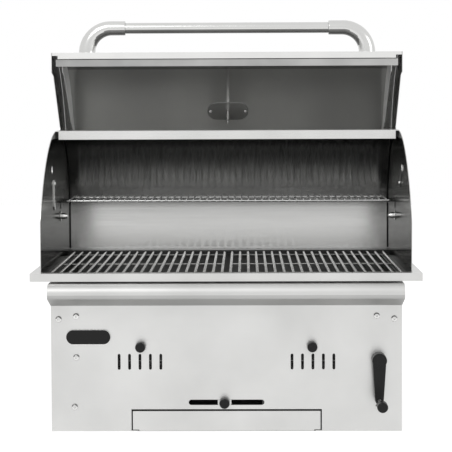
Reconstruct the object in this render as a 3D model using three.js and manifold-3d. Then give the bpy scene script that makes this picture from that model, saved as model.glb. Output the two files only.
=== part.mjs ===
// A built-in charcoal grill with its hood open, in millimetres.
// The origin is the centre of the firebox underside. +X is right, +Y is back and +Z is up.
import * as THREE from 'three';
import Module from 'manifold-3d';
import { mergeVertices } from 'three/addons/utils/BufferGeometryUtils.js';

const wasm = await Module();
wasm.setup();

// Sheet metal and fits
const sheet = 1.5;
const thinSheet = 1.2;
const gap = 0.3;
const overrun = 6;

// Firebox and front panel
const baseInset = 19;
const baseDepth = 500;
const panelReturnDepth = 12;
const panelReturnHeight = 300;
const screwHeadRadius = 6.5;
const screwHeadHeight = 3.6;
const screwShankRadius = 3;
const screwShankLength = 9;
const outerScrewInset = 16;
const outerScrewZ = 233;
const innerScrewInset = 52;
const upperScrewZ = 239;
const middleScrewZ = 154;
const lowerScrewInset = 48;
const lowerScrewZ = 51;
const badgeInset = 77;
const badgeZ = 196;
const badgeLength = 93.4;
const badgeHeight = 32;

// Counter flange and the ledges that carry the cooking grates
const flangeTop = 331;
const flangeSideReach = 19;
const flangeFrontReach = 37;
const flangeBackReach = 14;
const frontLipHeight = 16.5;
const sideLipHeight = 12;
const lipHem = 9;
const flangeReturn = 9;
const grateDrop = 3;
const grateBarDiameter = 6;
const ledgeDepth = 18;
const rearLedgeInset = 15;
const rearLedgeDrop = 1;

// Bullnose apron under the front lip
const noseTop = 310.5;
const noseReach = 63;
const noseRadius = 18.5;
const noseTuck = 35;
const noseFootZ = 261;

// Fixed chamber: arched side walls, roof and back
const chamberHalfWidth = 380;
const chamberFrontReach = 15;
const archCentreY = 40;
const archCentreZ = 270;
const archOverreach = 96;
const pivotY = 87;
const pivotZ = 422;
const roofFrontY = -9;
const roofLipHeight = 19;
const roofLipInset = 10;
const spitHoleY = -62;
const spitHoleZ = 533;
const spitHoleRadius = 8.5;
const coverPivotY = -27;
const coverPivotZ = 501;
const coverHalfWidth = 10.5;
const coverPinRadius = 2.5;
const coverHeadRadius = 4.5;
const coverHeadHeight = 2.2;
const stopFrontY = 224;
const stopBackY = 244;
const stopHeight = 12;
const stopReach = 7.5;

// Hood
const hoodSideClearance = 4.5;
const hoodClearance = 8;
const hoodFaceReach = 14;
const hoodRise = 3;
const hoodLipDepth = 14;
const hoodBackY = 35;
const cheekFootDepth = 44;
const cheekStepDepth = 51;
const cheekStepHeight = 34;
const cheekKneeY = -113;
const cheekKneeZ = 484;
const earRadius = 24;
const linerSpacing = 24;
const linerInset = 22.3;
const linerFootInset = 8.5;
const linerRecess = 3;
const linerEndClearance = 6;
const lipNotchInset = 13;
const lipNotchDepth = 7;
const linerFootDepth = 16.5;
const linerFaceInset = 24;
const linerBackY = -65;
const pivotBoltRadius = 4;
const pivotWasherRadius = 11;
const pivotNutRadius = 6.8;
const pivotNutLength = 14.5;
const pivotHeadRadius = 7;
const pivotHeadHeight = 4.5;
const pivotBushRadius = 9;

// Hood handle
const handleRadius = 12;
const handleStandoff = 55.5;
const handleZ = 391;
const elbowReach = 86;
const elbowSocketRadius = 15.75;
const elbowFootRadius = 19.5;
const elbowInset = 74;
const elbowBendRadius = 54.5;

// Thermometer
const gaugeElevation = 55;
const gaugeRadius = 38;
const gaugeHeight = 13;
const gaugeWall = 3;
const gaugeFloor = 3;
const gaugeLip = 5;
const gaugeLipHeight = 2;
const gaugeNeckRadius = 8;
const gaugeNeckLength = 20;
const gaugeStemRadius = 2.75;
const gaugeStemLength = 72;
const gaugeDialHeight = 1;
const gaugeGlassHeight = 1.5;
const needleLength = 25;
const needleWidth = 2.4;
const needleHubRadius = 3.5;
const needleHubHeight = 2.2;
const needleHeight = 0.8;
const needleRestAngle = 225;
const coverPlateLength = 96;
const coverPlateHeight = 48;

// Cooking grates and warming rack
const grateBars = 20;
const grateEdgeInset = 15.5;
const grateMiddleGap = 17.6;
const grateEndClearance = 2;
const grateCrossInset = 37;
const grateCrossRods = 3;
const grateCrossRadius = 1.8;
const rackZ = 455;
const rackDepth = 134;
const rackBackInset = 15;
const rackInset = 14;
const rackRodRadius = 2.5;
const rackWireRadius = 1.5;
const rackWireOverhang = 4;
const rackWires = 47;
const rackWireInset = 7.2;
const weldDepth = 1;
const rackBracketReach = 17;
const rackBracketHeight = 14;
const rackBracketOverhang = 9;

// Side vents
const ventInset = 202;
const ventBottom = 128;
const ventTop = 161;
const ventSlotWidth = 5.8;
const ventSlots = 5;
const ventPitch = 21.5;
const ventTravel = 7;
const ventKnobInset = 203.7;
const ventKnobZ = 176.4;
const ventDamperMargin = 10;
const ventDamperTop = 190;
const knobRadius = 10.5;
const knobLength = 18;
const knobStemRadius = 3;
const knobStandoff = 3;
const knobRound = 2.5;

// Lower air shutter
const shutterZ = 60.2;
const shutterRestX = -4;
const shutterSlotHalfLength = 78;
const shutterSlotHeight = 11;
const shutterTabWidth = 28;
const shutterPlateHalfLength = 145;
const shutterPlateHeight = 22;

// Ash drawer
const drawerHalfWidth = 190;
const drawerDepth = 348;
const drawerTop = 40.5;
const drawerFrontHalfWidth = 194;
const drawerFrontBottom = 3;
const drawerFrontTop = 42.6;
const drawerGap = 2.2;
const drawerTopGap = 3.2;
const panelTabHeight = 2;
const panelTabLength = 13;
const drawerRailWidth = 20;
const drawerRailHeight = 20;

// Height crank, its shaft and the lift racks
const crankInset = 48.1;
const crankZ = 150;
const shaftRadius = 4;
const shaftBackY = 244;
const bushFlangeRadius = 14;
const bushFlangeHeight = 2.7;
const bushRadius = 8;
const bushLength = 10;
const bearingRadius = 13;
const bearingLength = 14;
const crankHubRadius = 15;
const crankHubLength = 25;
const crankArmLength = 82;
const crankArmRootWidth = 28;
const crankArmTipWidth = 17.5;
const crankArmHeight = 9;
const spindleRadius = 3;
const spindleLength = 82.4;
const crankKnobRadius = 11;
const crankKnobLength = 26;
const crankKnobRound = 4;
const crankKnobCap = 8;
const toothModule = 2;
const pinionTeeth = 12;
const pinionWidth = 12;
const pinionY = 150;
const pinionAddendum = 1.5;
const pinionDedendum = 1.8;
const rackAddendum = 1.3;
const rackDedendum = 1.8;
const toothBacklash = 0.5;
const pressureAngle = 20;

// Charcoal tray
const trayInset = 32.9;
const trayEndInset = 25;
const trayBottom = 70;
const trayHeight = 58;
const traySlots = 10;
const traySlotWidth = 9;
const traySlotHalfLength = 190;
const traySlotInset = 55;
const guideInset = 18;
const guideWidth = 16;
const guideDepth = 17;
const guideBottom = 78;
const guideTop = 225;
const guideStripHeight = 14;
const tongueWidth = 11;
const tongueReach = 13;
const tongueBottom = 95;
const tongueHeight = 10;
const emberBars = 15;
const emberBarRadius = 4;
const emberInset = 28;
const emberEndClearance = 6;
const emberCrossY = 150;
const liftRackHalfWidth = 6;
const liftRackBottom = 36;
const liftRackTop = 172;
const liftRackBack = 8;
const liftBarBottom = 95;
const liftBarHeight = 15;

// Places that follow from the sizes
const baseHalfWidth = chamberHalfWidth - baseInset;
const flangeHalfWidth = chamberHalfWidth + flangeSideReach;
const cheekInnerX = chamberHalfWidth + hoodSideClearance;
const hoodHalfWidth = cheekInnerX + sheet;
const roofLipHalfLength = chamberHalfWidth - roofLipInset;
const linerHalfWidth = cheekInnerX - linerInset;
const linerFootHalfWidth = cheekInnerX - linerFootInset;
const outerScrewX = baseHalfWidth - outerScrewInset;
const innerScrewX = baseHalfWidth - innerScrewInset;
const lowerScrewX = baseHalfWidth - lowerScrewInset;
const badgeX = badgeInset - baseHalfWidth;
const elbowX = hoodHalfWidth - elbowInset;
const handleHalfLength = elbowX - elbowReach;
const rackHalfLength = chamberHalfWidth - rackInset;
const rackWirePitch = (2 * (rackHalfLength - rackWireInset)) / (rackWires - 1);
const crankX = baseHalfWidth - crankInset;
const trayHalfWidth = crankX - trayInset;
const traySlotPitch = (2 * (trayHalfWidth - traySlotInset)) / (traySlots - 1);
const guideX = trayHalfWidth - guideInset;
const emberPitch = (2 * (trayHalfWidth - emberInset)) / (emberBars - 1);
const panelFaceY = -baseDepth / 2;
const archRadius = baseDepth / 2 + archOverreach;
const trayHalfDepth = baseDepth / 2 - trayEndInset;
const panelBackY = panelFaceY + sheet;
const rearLedgeY = baseDepth / 2 - rearLedgeInset;
const firebackY = baseDepth / 2;
const rackBackY = firebackY - rackBackInset;
const rackFrontY = rackBackY - rackDepth;
const pocketY = panelBackY + gap;
const flangeFrontY = panelFaceY - flangeFrontReach;
const chamberFrontY = panelFaceY - chamberFrontReach;
const wallInnerX = chamberHalfWidth - sheet;
const ventX = chamberHalfWidth - ventInset;
const ventKnobX = chamberHalfWidth - ventKnobInset;
const roofTop = archCentreZ + archRadius;
const rearRadius = roofTop - pivotZ;
const rearY = pivotY + rearRadius;
const flangeBackY = rearY + flangeBackReach;
const barTop = flangeTop - grateDrop;
const barZ = barTop - grateBarDiameter / 2;
const seatTop = barTop - grateBarDiameter - gap;
const seatBottom = seatTop - sheet;
const shelfTop = seatBottom - gap;
const panelTop = shelfTop;
const outerBarX = wallInnerX - grateEdgeInset;
const gratePitch = (outerBarX - grateMiddleGap / 2) / (grateBars - 1);
const grateReach = outerBarX - weldDepth;
const drawerBottom = sheet + gap + thinSheet + gap;
const frontSeatY = chamberFrontY + gap + sheet / 2;
const hoodRadius = archRadius + hoodClearance;
const hoodFaceY = chamberFrontY - hoodFaceReach;
const linerRadius = hoodRadius - linerSpacing;
const linerFaceY = hoodFaceY + linerFaceInset;
const hoodBottom = flangeTop + hoodRise;
const pinionRadius = (toothModule * pinionTeeth) / 2;
const toothPitch = Math.PI * toothModule;
const knobFaceY = panelFaceY - knobStandoff;

const steel = new THREE.MeshStandardMaterial({ color: 0xcfcfcd, roughness: 0.34, metalness: 0.95 });
const innerSteel = new THREE.MeshStandardMaterial({ color: 0xb4b4b2, roughness: 0.22, metalness: 1 });
const zincSteel = new THREE.MeshStandardMaterial({ color: 0xa7a7a4, roughness: 0.45, metalness: 0.9 });
const chrome = new THREE.MeshStandardMaterial({ color: 0xe2e2e2, roughness: 0.08, metalness: 1 });
const blackPlastic = new THREE.MeshStandardMaterial({ color: 0x1d1d1d, roughness: 0.5, metalness: 0 });
const badgeBlack = new THREE.MeshStandardMaterial({ color: 0x101010, roughness: 0.25, metalness: 0.2 });
const dialWhite = new THREE.MeshStandardMaterial({ color: 0xf2f2ee, roughness: 0.5, metalness: 0 });
const clearGlass = new THREE.MeshStandardMaterial({ color: 0xdfe8ea, roughness: 0.03, metalness: 0 });
const needleRed = new THREE.MeshStandardMaterial({ color: 0xb01c14, roughness: 0.4, metalness: 0 });

// A geometry as a closed solid, with its shared corners merged and its faces pointing out.
function solid(geometry) {
  const bare = new THREE.BufferGeometry();
  bare.setAttribute('position', geometry.getAttribute('position'));
  bare.setIndex(geometry.index);
  const merged = mergeVertices(bare);
  const corners = merged.getAttribute('position');
  const [a, b, c] = [new THREE.Vector3(), new THREE.Vector3(), new THREE.Vector3()];
  const triangles = [];
  let volume = 0;
  for (let i = 0; i < merged.index.count; i += 3) {
    const face = [0, 1, 2].map((k) => merged.index.getX(i + k));
    if (new Set(face).size < face.length) continue;
    a.fromBufferAttribute(corners, face[0]);
    b.fromBufferAttribute(corners, face[1]);
    c.fromBufferAttribute(corners, face[2]);
    volume += a.dot(b.cross(c));
    triangles.push(face);
  }
  if (volume < 0) triangles.forEach((face) => face.reverse());
  return new wasm.Manifold(new wasm.Mesh({
    numProp: 3,
    vertProperties: new Float32Array(corners.array),
    triVerts: new Uint32Array(triangles.flat()),
  }));
}

// A solid as a geometry with flat faces.
function geometryOf(shape) {
  const mesh = shape.getMesh();
  const geometry = new THREE.BufferGeometry();
  geometry.setAttribute('position', new THREE.BufferAttribute(mesh.vertProperties, mesh.numProp));
  geometry.setIndex(new THREE.BufferAttribute(mesh.triVerts, 1));
  geometry.computeVertexNormals();
  return geometry;
}

function join(...shapes) {
  return shapes.reduce((whole, shape) => whole.add(shape));
}

function cut(shape, ...cutters) {
  return cutters.reduce((whole, cutter) => whole.subtract(cutter), shape);
}

function outline(points) {
  return new THREE.Shape(points.map(([u, v]) => new THREE.Vector2(u, v)));
}

// Points on a circle from one angle to another, in degrees.
function arc([u, v], radius, from, to, steps) {
  return Array.from({ length: steps + 1 }, (_, i) => {
    const angle = THREE.MathUtils.degToRad(from + ((to - from) * i) / steps);
    return [u + radius * Math.cos(angle), v + radius * Math.sin(angle)];
  });
}

// A slot or plate outline with round ends, from one end centre to the other.
function pill([u0, v0], [u1, v1], radius, steps) {
  const along = THREE.MathUtils.radToDeg(Math.atan2(v1 - v0, u1 - u0));
  return outline([
    ...arc([u1, v1], radius, along - 90, along + 90, steps),
    ...arc([u0, v0], radius, along + 90, along + 270, steps),
  ]);
}

// The outline of a folded sheet: one face follows the path and the other lies a thickness to its left.
function folded(path, thickness) {
  const leftOf = ([u0, v0], [u1, v1]) => {
    const length = Math.hypot(u1 - u0, v1 - v0);
    return [(v0 - v1) / length, (u1 - u0) / length];
  };
  const other = path.map((point, i) => {
    const before = leftOf(path[Math.max(i - 1, 0)], path[Math.max(i, 1)]);
    const after = leftOf(path[Math.min(i, path.length - 2)], path[Math.min(i + 1, path.length - 1)]);
    const share = thickness / (1 + before[0] * after[0] + before[1] * after[1]);
    return [point[0] + (before[0] + after[0]) * share, point[1] + (before[1] + after[1]) * share];
  });
  return outline([...path, ...other.reverse()]);
}

// Extrusions of an outline, each named by the direction that it runs in.
function alongX(shape, from, to) {
  const geometry = new THREE.ExtrudeGeometry(shape, { depth: Math.abs(to - from), bevelEnabled: false });
  const turn = new THREE.Matrix4().makeBasis(
    new THREE.Vector3(0, 1, 0), new THREE.Vector3(0, 0, 1), new THREE.Vector3(1, 0, 0));
  return solid(geometry.applyMatrix4(turn).translate(Math.min(from, to), 0, 0));
}

function alongY(shape, from, to) {
  const geometry = new THREE.ExtrudeGeometry(shape, { depth: Math.abs(to - from), bevelEnabled: false });
  return solid(geometry.rotateX(Math.PI / 2).translate(0, Math.max(from, to), 0));
}

function alongZ(shape, from, to) {
  const geometry = new THREE.ExtrudeGeometry(shape, { depth: Math.abs(to - from), bevelEnabled: false });
  return solid(geometry.translate(0, 0, Math.min(from, to)));
}

function block([x0, x1], [y0, y1], [z0, z1]) {
  const geometry = new THREE.BoxGeometry(Math.abs(x1 - x0), Math.abs(y1 - y0), Math.abs(z1 - z0));
  return solid(geometry.translate((x0 + x1) / 2, (y0 + y1) / 2, (z0 + z1) / 2));
}

// A turned solid: the profile holds a radius and a distance along the axis for each corner.
function turned(profile, origin, direction, sides) {
  const points = profile.map(([radius, along]) => new THREE.Vector2(radius, along));
  const turn = new THREE.Quaternion().setFromUnitVectors(
    new THREE.Vector3(0, 1, 0), new THREE.Vector3(...direction).normalize());
  const geometry = new THREE.LatheGeometry(points, sides).applyQuaternion(turn);
  return solid(geometry.translate(...origin));
}

function rod(origin, direction, radius, from, to, sides) {
  return turned([[0, from], [radius, from], [radius, to], [0, to]], origin, direction, sides);
}

const alongXAxis = [1, 0, 0];
const alongYAxis = [0, 1, 0];
const towardFront = [0, -1, 0];

function piece(group, name, shape, material) {
  const mesh = new THREE.Mesh(geometryOf(shape), material);
  mesh.name = name;
  group.add(mesh);
}

// The chamber's side outline from its foot at the front, over the arch, down to its foot at the back.
function chamberOutline(bottom) {
  const archStart = THREE.MathUtils.radToDeg(Math.acos((chamberFrontY - archCentreY) / archRadius));
  return [
    [chamberFrontY, bottom],
    ...arc([archCentreY, archCentreZ], archRadius, archStart, 90, 24),
    ...arc([pivotY, pivotZ], rearRadius, 90, 0, 20),
    [rearY, bottom],
  ];
}

// The rear edge of the open hood's cheek, as a height over a place along Y.
function openCheekEdge(y) {
  const backEnd = [hoodBackY - pivotY, hoodArcZ(hoodBackY, hoodRadius) - pivotZ];
  const slope = (earRadius - backEnd[0]) / backEnd[1];
  return pivotZ - earRadius + (y - pivotY) * slope;
}

function hoodArcZ(y, radius) {
  return archCentreZ + Math.sqrt(radius ** 2 - (y - archCentreY) ** 2);
}

function hoodAngle(y, radius) {
  return THREE.MathUtils.radToDeg(Math.acos((y - archCentreY) / radius));
}

function bodyPanels(group) {
  const panel = [-baseHalfWidth, baseHalfWidth];
  const ventCut = (side) => Array.from({ length: ventSlots }, (_, i) => {
    const x = side * ventX + (i - (ventSlots - 1) / 2) * ventPitch;
    const radius = ventSlotWidth / 2;
    return alongY(pill([x, ventBottom + radius], [x, ventTop - radius], radius, 6),
      panelFaceY - overrun, panelBackY + overrun);
  });
  const knobCut = (side) => alongY(
    pill([side * ventKnobX, ventKnobZ], [side * (ventKnobX + ventTravel), ventKnobZ],
      knobStemRadius + gap, 8), panelFaceY - overrun, panelBackY + overrun);
  const slotRadius = shutterSlotHeight / 2;
  const shutterCut = alongY(
    pill([slotRadius - shutterSlotHalfLength, shutterZ], [shutterSlotHalfLength - slotRadius, shutterZ],
      slotRadius, 8), panelFaceY - overrun, panelBackY + overrun);
  const doorHalf = drawerFrontHalfWidth + drawerGap;
  const doorCut = block([-doorHalf, doorHalf], [panelFaceY - overrun, panelBackY + overrun],
    [panelTabHeight, drawerFrontTop + drawerTopGap]);
  const fingerCut = block([panelTabLength - doorHalf, doorHalf - panelTabLength],
    [panelFaceY - overrun, panelBackY + overrun], [-overrun, panelTabHeight + overrun]);
  const holeCut = (x, z, radius) => rod([x, 0, z], alongYAxis, radius + gap,
    panelFaceY - overrun, panelBackY + overrun, 16);
  const returns = [-1, 1].map((side) => block(
    [side * baseHalfWidth, side * (baseHalfWidth - sheet)],
    [panelFaceY, panelFaceY + panelReturnDepth], [0, panelReturnHeight]));
  const face = cut(block(panel, [panelFaceY, panelBackY], [0, panelTop]),
    ...ventCut(-1), ...ventCut(1), knobCut(-1), knobCut(1), shutterCut, doorCut, fingerCut,
    holeCut(crankX, crankZ, bushRadius),
    ...screwPlaces().map(([x, z]) => holeCut(x, z, screwShankRadius)));
  piece(group, 'front_panel', join(face, ...returns), steel);

  const noseFrontY = panelFaceY - noseReach;
  const nosePath = [
    [panelFaceY - gap, noseTop],
    ...arc([noseFrontY + noseRadius, noseTop - noseRadius], noseRadius, 90, 180 + noseTuck, 14),
    [panelFaceY - sheet, noseFootZ],
  ];
  const noseEnds = [-1, 1].map((side) => alongX(outline(nosePath),
    side * baseHalfWidth, side * (baseHalfWidth - sheet)));
  piece(group, 'bullnose_apron', join(alongX(folded(nosePath, sheet), ...panel), ...noseEnds), steel);

  const lipPath = [
    [flangeFrontY, flangeTop],
    [flangeFrontY, flangeTop - frontLipHeight],
  ];
  const seatHalf = wallInnerX - gap;
  const middle = alongX(folded([
    [frontSeatY + ledgeDepth, seatTop],
    [frontSeatY, seatTop],
    [frontSeatY, flangeTop],
    ...lipPath,
  ], sheet), -seatHalf, seatHalf);
  const wide = alongX(folded([[chamberFrontY - gap, flangeTop], ...lipPath], sheet),
    -flangeHalfWidth, flangeHalfWidth);
  piece(group, 'front_lip', join(middle, wide), steel);

  for (const [side, name] of [[-1, 'left_flange'], [1, 'right_flange']]) {
    const inner = chamberHalfWidth + gap;
    const lipBottom = flangeTop - sideLipHeight;
    const path = [
      [flangeHalfWidth - lipHem, lipBottom],
      [flangeHalfWidth, lipBottom],
      [flangeHalfWidth, flangeTop],
      [inner, flangeTop],
      [inner, flangeTop - flangeReturn],
    ];
    const shape = alongY(folded(path, sheet), chamberFrontY, rearY);
    piece(group, name, side < 0 ? shape.mirror([1, 0, 0]) : shape, steel);
  }

  const sideInnerX = baseHalfWidth - sheet - gap;
  const floor = block([-sideInnerX, sideInnerX], [pocketY, firebackY], [0, sheet]);
  const sides = [-1, 1].map((side) => join(
    block([side * sideInnerX, side * (sideInnerX - sheet)], [pocketY, firebackY], [0, shelfTop]),
    block([side * (sideInnerX - sheet), side * chamberHalfWidth], [pocketY, rearY],
      [shelfTop - sheet, shelfTop])));
  const back = join(
    block([-sideInnerX, sideInnerX], [firebackY - sheet, firebackY], [0, shelfTop]),
    block([-chamberHalfWidth, chamberHalfWidth], [firebackY - sheet, rearY], [shelfTop - sheet, shelfTop]));
  piece(group, 'firebox', join(floor, ...sides, back), innerSteel);

  const rearPath = [
    [rearY - sheet - gap, seatBottom],
    [rearY - sheet - gap, flangeTop - rearLedgeDrop],
    [rearLedgeY, flangeTop - rearLedgeDrop],
    [rearLedgeY, seatTop],
    [rearLedgeY - ledgeDepth, seatTop],
  ];
  piece(group, 'rear_grate_ledge', alongX(folded(rearPath, sheet), -seatHalf, seatHalf), innerSteel);

  const badgeRound = badgeHeight / 2;
  const badgeHalf = badgeLength / 2 - badgeRound;
  piece(group, 'badge_plate', alongY(pill([badgeX - badgeHalf, badgeZ], [badgeX + badgeHalf, badgeZ],
    badgeRound, 12), panelFaceY - gap - sheet, panelFaceY - gap), badgeBlack);

  screwPlaces().forEach(([x, z], i) => {
    const head = panelFaceY - gap;
    piece(group, `panel_screw_${i + 1}`, turned([
      [0, -screwShankLength],
      [screwShankRadius, -screwShankLength],
      [screwShankRadius, 0],
      [screwHeadRadius, 0],
      [screwHeadRadius, screwHeadHeight / 2],
      [screwHeadRadius * 0.72, screwHeadHeight],
      [0, screwHeadHeight],
    ], [x, head, z], towardFront, 12), zincSteel);
  });
}

function screwPlaces() {
  return [
    [-outerScrewX, outerScrewZ], [-innerScrewX, upperScrewZ], [-innerScrewX, middleScrewZ],
    [-lowerScrewX, lowerScrewZ], [outerScrewX, outerScrewZ], [innerScrewX, upperScrewZ],
    [lowerScrewX, lowerScrewZ],
  ];
}

function chamber(group) {
  for (const [side, name] of [[-1, 'side_wall_left'], [1, 'side_wall_right']]) {
    const through = (y, z, radius) => rod([0, y, z], alongXAxis, radius,
      side * chamberHalfWidth - overrun, side * chamberHalfWidth + overrun, 16);
    const wall = alongX(outline(chamberOutline(seatBottom)), side * wallInnerX, side * chamberHalfWidth);
    const stop = alongX(outline([
      [stopFrontY, openCheekEdge(stopFrontY) - gap],
      [stopFrontY, openCheekEdge(stopFrontY) - stopHeight],
      [stopBackY, openCheekEdge(stopBackY) - stopHeight],
      [stopBackY, openCheekEdge(stopBackY) - gap],
    ]), side * wallInnerX, side * (chamberHalfWidth + stopReach));
    piece(group, name, join(cut(wall, through(pivotY, pivotZ, pivotBoltRadius + gap),
      through(spitHoleY, spitHoleZ, spitHoleRadius),
      through(coverPivotY, coverPivotZ, coverPinRadius + gap)), stop), innerSteel);
  }

  const innerHalf = wallInnerX - gap;
  const shellPath = [
    [flangeBackY, flangeTop - sideLipHeight],
    [flangeBackY, flangeTop],
    [rearY, flangeTop],
    ...arc([pivotY, pivotZ], rearRadius, 0, 90, 20),
    [roofFrontY, roofTop],
  ];
  const lip = block([-roofLipHalfLength, roofLipHalfLength], [roofFrontY, roofFrontY + sheet],
    [roofTop - roofLipHeight, roofTop]);
  const flangeEnds = [-1, 1].map((side) => alongX(folded([
    [flangeBackY, flangeTop - sideLipHeight],
    [flangeBackY, flangeTop],
    [rearY + gap, flangeTop],
  ], sheet), 0, side * flangeHalfWidth));
  piece(group, 'roof_and_back', join(alongX(folded(shellPath, sheet), -innerHalf, innerHalf),
    lip, ...flangeEnds), innerSteel);
}

function hoodPivots(group) {
  for (const [side, name] of [[-1, 'hood_pivot_left'], [1, 'hood_pivot_right']]) {
    const nutEnd = wallInnerX - gap - sheet;
    piece(group, name, turned([
      [0, nutEnd - pivotNutLength],
      [pivotNutRadius * 0.6, nutEnd - pivotNutLength * 0.93],
      [pivotNutRadius * 0.92, nutEnd - pivotNutLength * 0.75],
      [pivotNutRadius, nutEnd - pivotNutLength / 2],
      [pivotNutRadius, nutEnd],
      [pivotWasherRadius, nutEnd],
      [pivotWasherRadius, nutEnd + sheet],
      [pivotBoltRadius, nutEnd + sheet],
      [pivotBoltRadius, chamberHalfWidth + gap],
      [pivotBushRadius, chamberHalfWidth + gap],
      [pivotBushRadius, cheekInnerX - gap],
      [pivotBoltRadius, cheekInnerX - gap],
      [pivotBoltRadius, hoodHalfWidth + gap],
      [pivotHeadRadius, hoodHalfWidth + gap],
      [pivotHeadRadius, hoodHalfWidth + gap + pivotHeadHeight],
      [0, hoodHalfWidth + gap + pivotHeadHeight],
    ], [0, pivotY, pivotZ], [side, 0, 0], 12), zincSteel);
  }
}

function grates(group) {
  const front = frontSeatY + grateEndClearance;
  const back = rearLedgeY - grateEndClearance;
  const radius = grateBarDiameter / 2;
  const crossZ = barZ - radius - grateCrossRadius + 2 * weldDepth;
  for (const [side, name] of [[-1, 'left_cooking_grate'], [1, 'right_cooking_grate']]) {
    const places = Array.from({ length: grateBars }, (_, i) => side * (grateMiddleGap / 2 + i * gratePitch));
    const bars = places.map((x) => rod([x, 0, barZ], alongYAxis, radius, front, back, 8));
    const crossRods = Array.from({ length: grateCrossRods }, (_, i) => {
      const share = i / (grateCrossRods - 1);
      const y = front + grateCrossInset + share * (back - front - 2 * grateCrossInset);
      return rod([0, y, crossZ], [side, 0, 0], grateCrossRadius, (grateMiddleGap - grateBarDiameter) / 2,
        grateReach, 8);
    });
    piece(group, name, join(...crossRods, ...bars), innerSteel);
  }

  const wires = Array.from({ length: rackWires }, (_, i) => rod(
    [(i - (rackWires - 1) / 2) * rackWirePitch, 0, rackZ + rackRodRadius + rackWireRadius - weldDepth],
    alongYAxis, rackWireRadius, rackFrontY - rackWireOverhang, rackBackY + rackWireOverhang, 6));
  const rails = [rackFrontY, rackBackY].map((y) => rod([0, y, rackZ], alongXAxis, rackRodRadius,
    -rackHalfLength, rackHalfLength, 8));
  piece(group, 'warming_rack', join(...rails, ...wires), chrome);

  for (const [side, name] of [[-1, 'rack_bracket_left'], [1, 'rack_bracket_right']]) {
    const top = rackZ - rackRodRadius - gap;
    const outer = wallInnerX - gap;
    const path = [[outer, top - rackBracketHeight], [outer, top], [outer - rackBracketReach, top]];
    const shape = alongY(folded(path, sheet), rackFrontY - rackBracketOverhang,
      rackBackY + rackBracketOverhang);
    piece(group, name, side < 0 ? shape.mirror([1, 0, 0]) : shape, innerSteel);
  }
}

// A spit hole's cover, with the pin that it swings on: the end lies at a place along Y and Z.
function spitCover(group, name, side, end) {
  const outer = wallInnerX - gap;
  const plate = alongX(pill([coverPivotY, coverPivotZ], end, coverHalfWidth, 10),
    side * (outer - sheet), side * outer);
  const pin = turned([
    [0, outer - sheet - coverHeadHeight],
    [coverHeadRadius, outer - sheet - coverHeadHeight],
    [coverHeadRadius, outer - sheet / 2],
    [coverPinRadius, outer - sheet / 2],
    [coverPinRadius, chamberHalfWidth + sheet],
    [0, chamberHalfWidth + sheet],
  ], [0, coverPivotY, coverPivotZ], [side, 0, 0], 12);
  piece(group, name, join(plate, pin), zincSteel);
}

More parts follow.
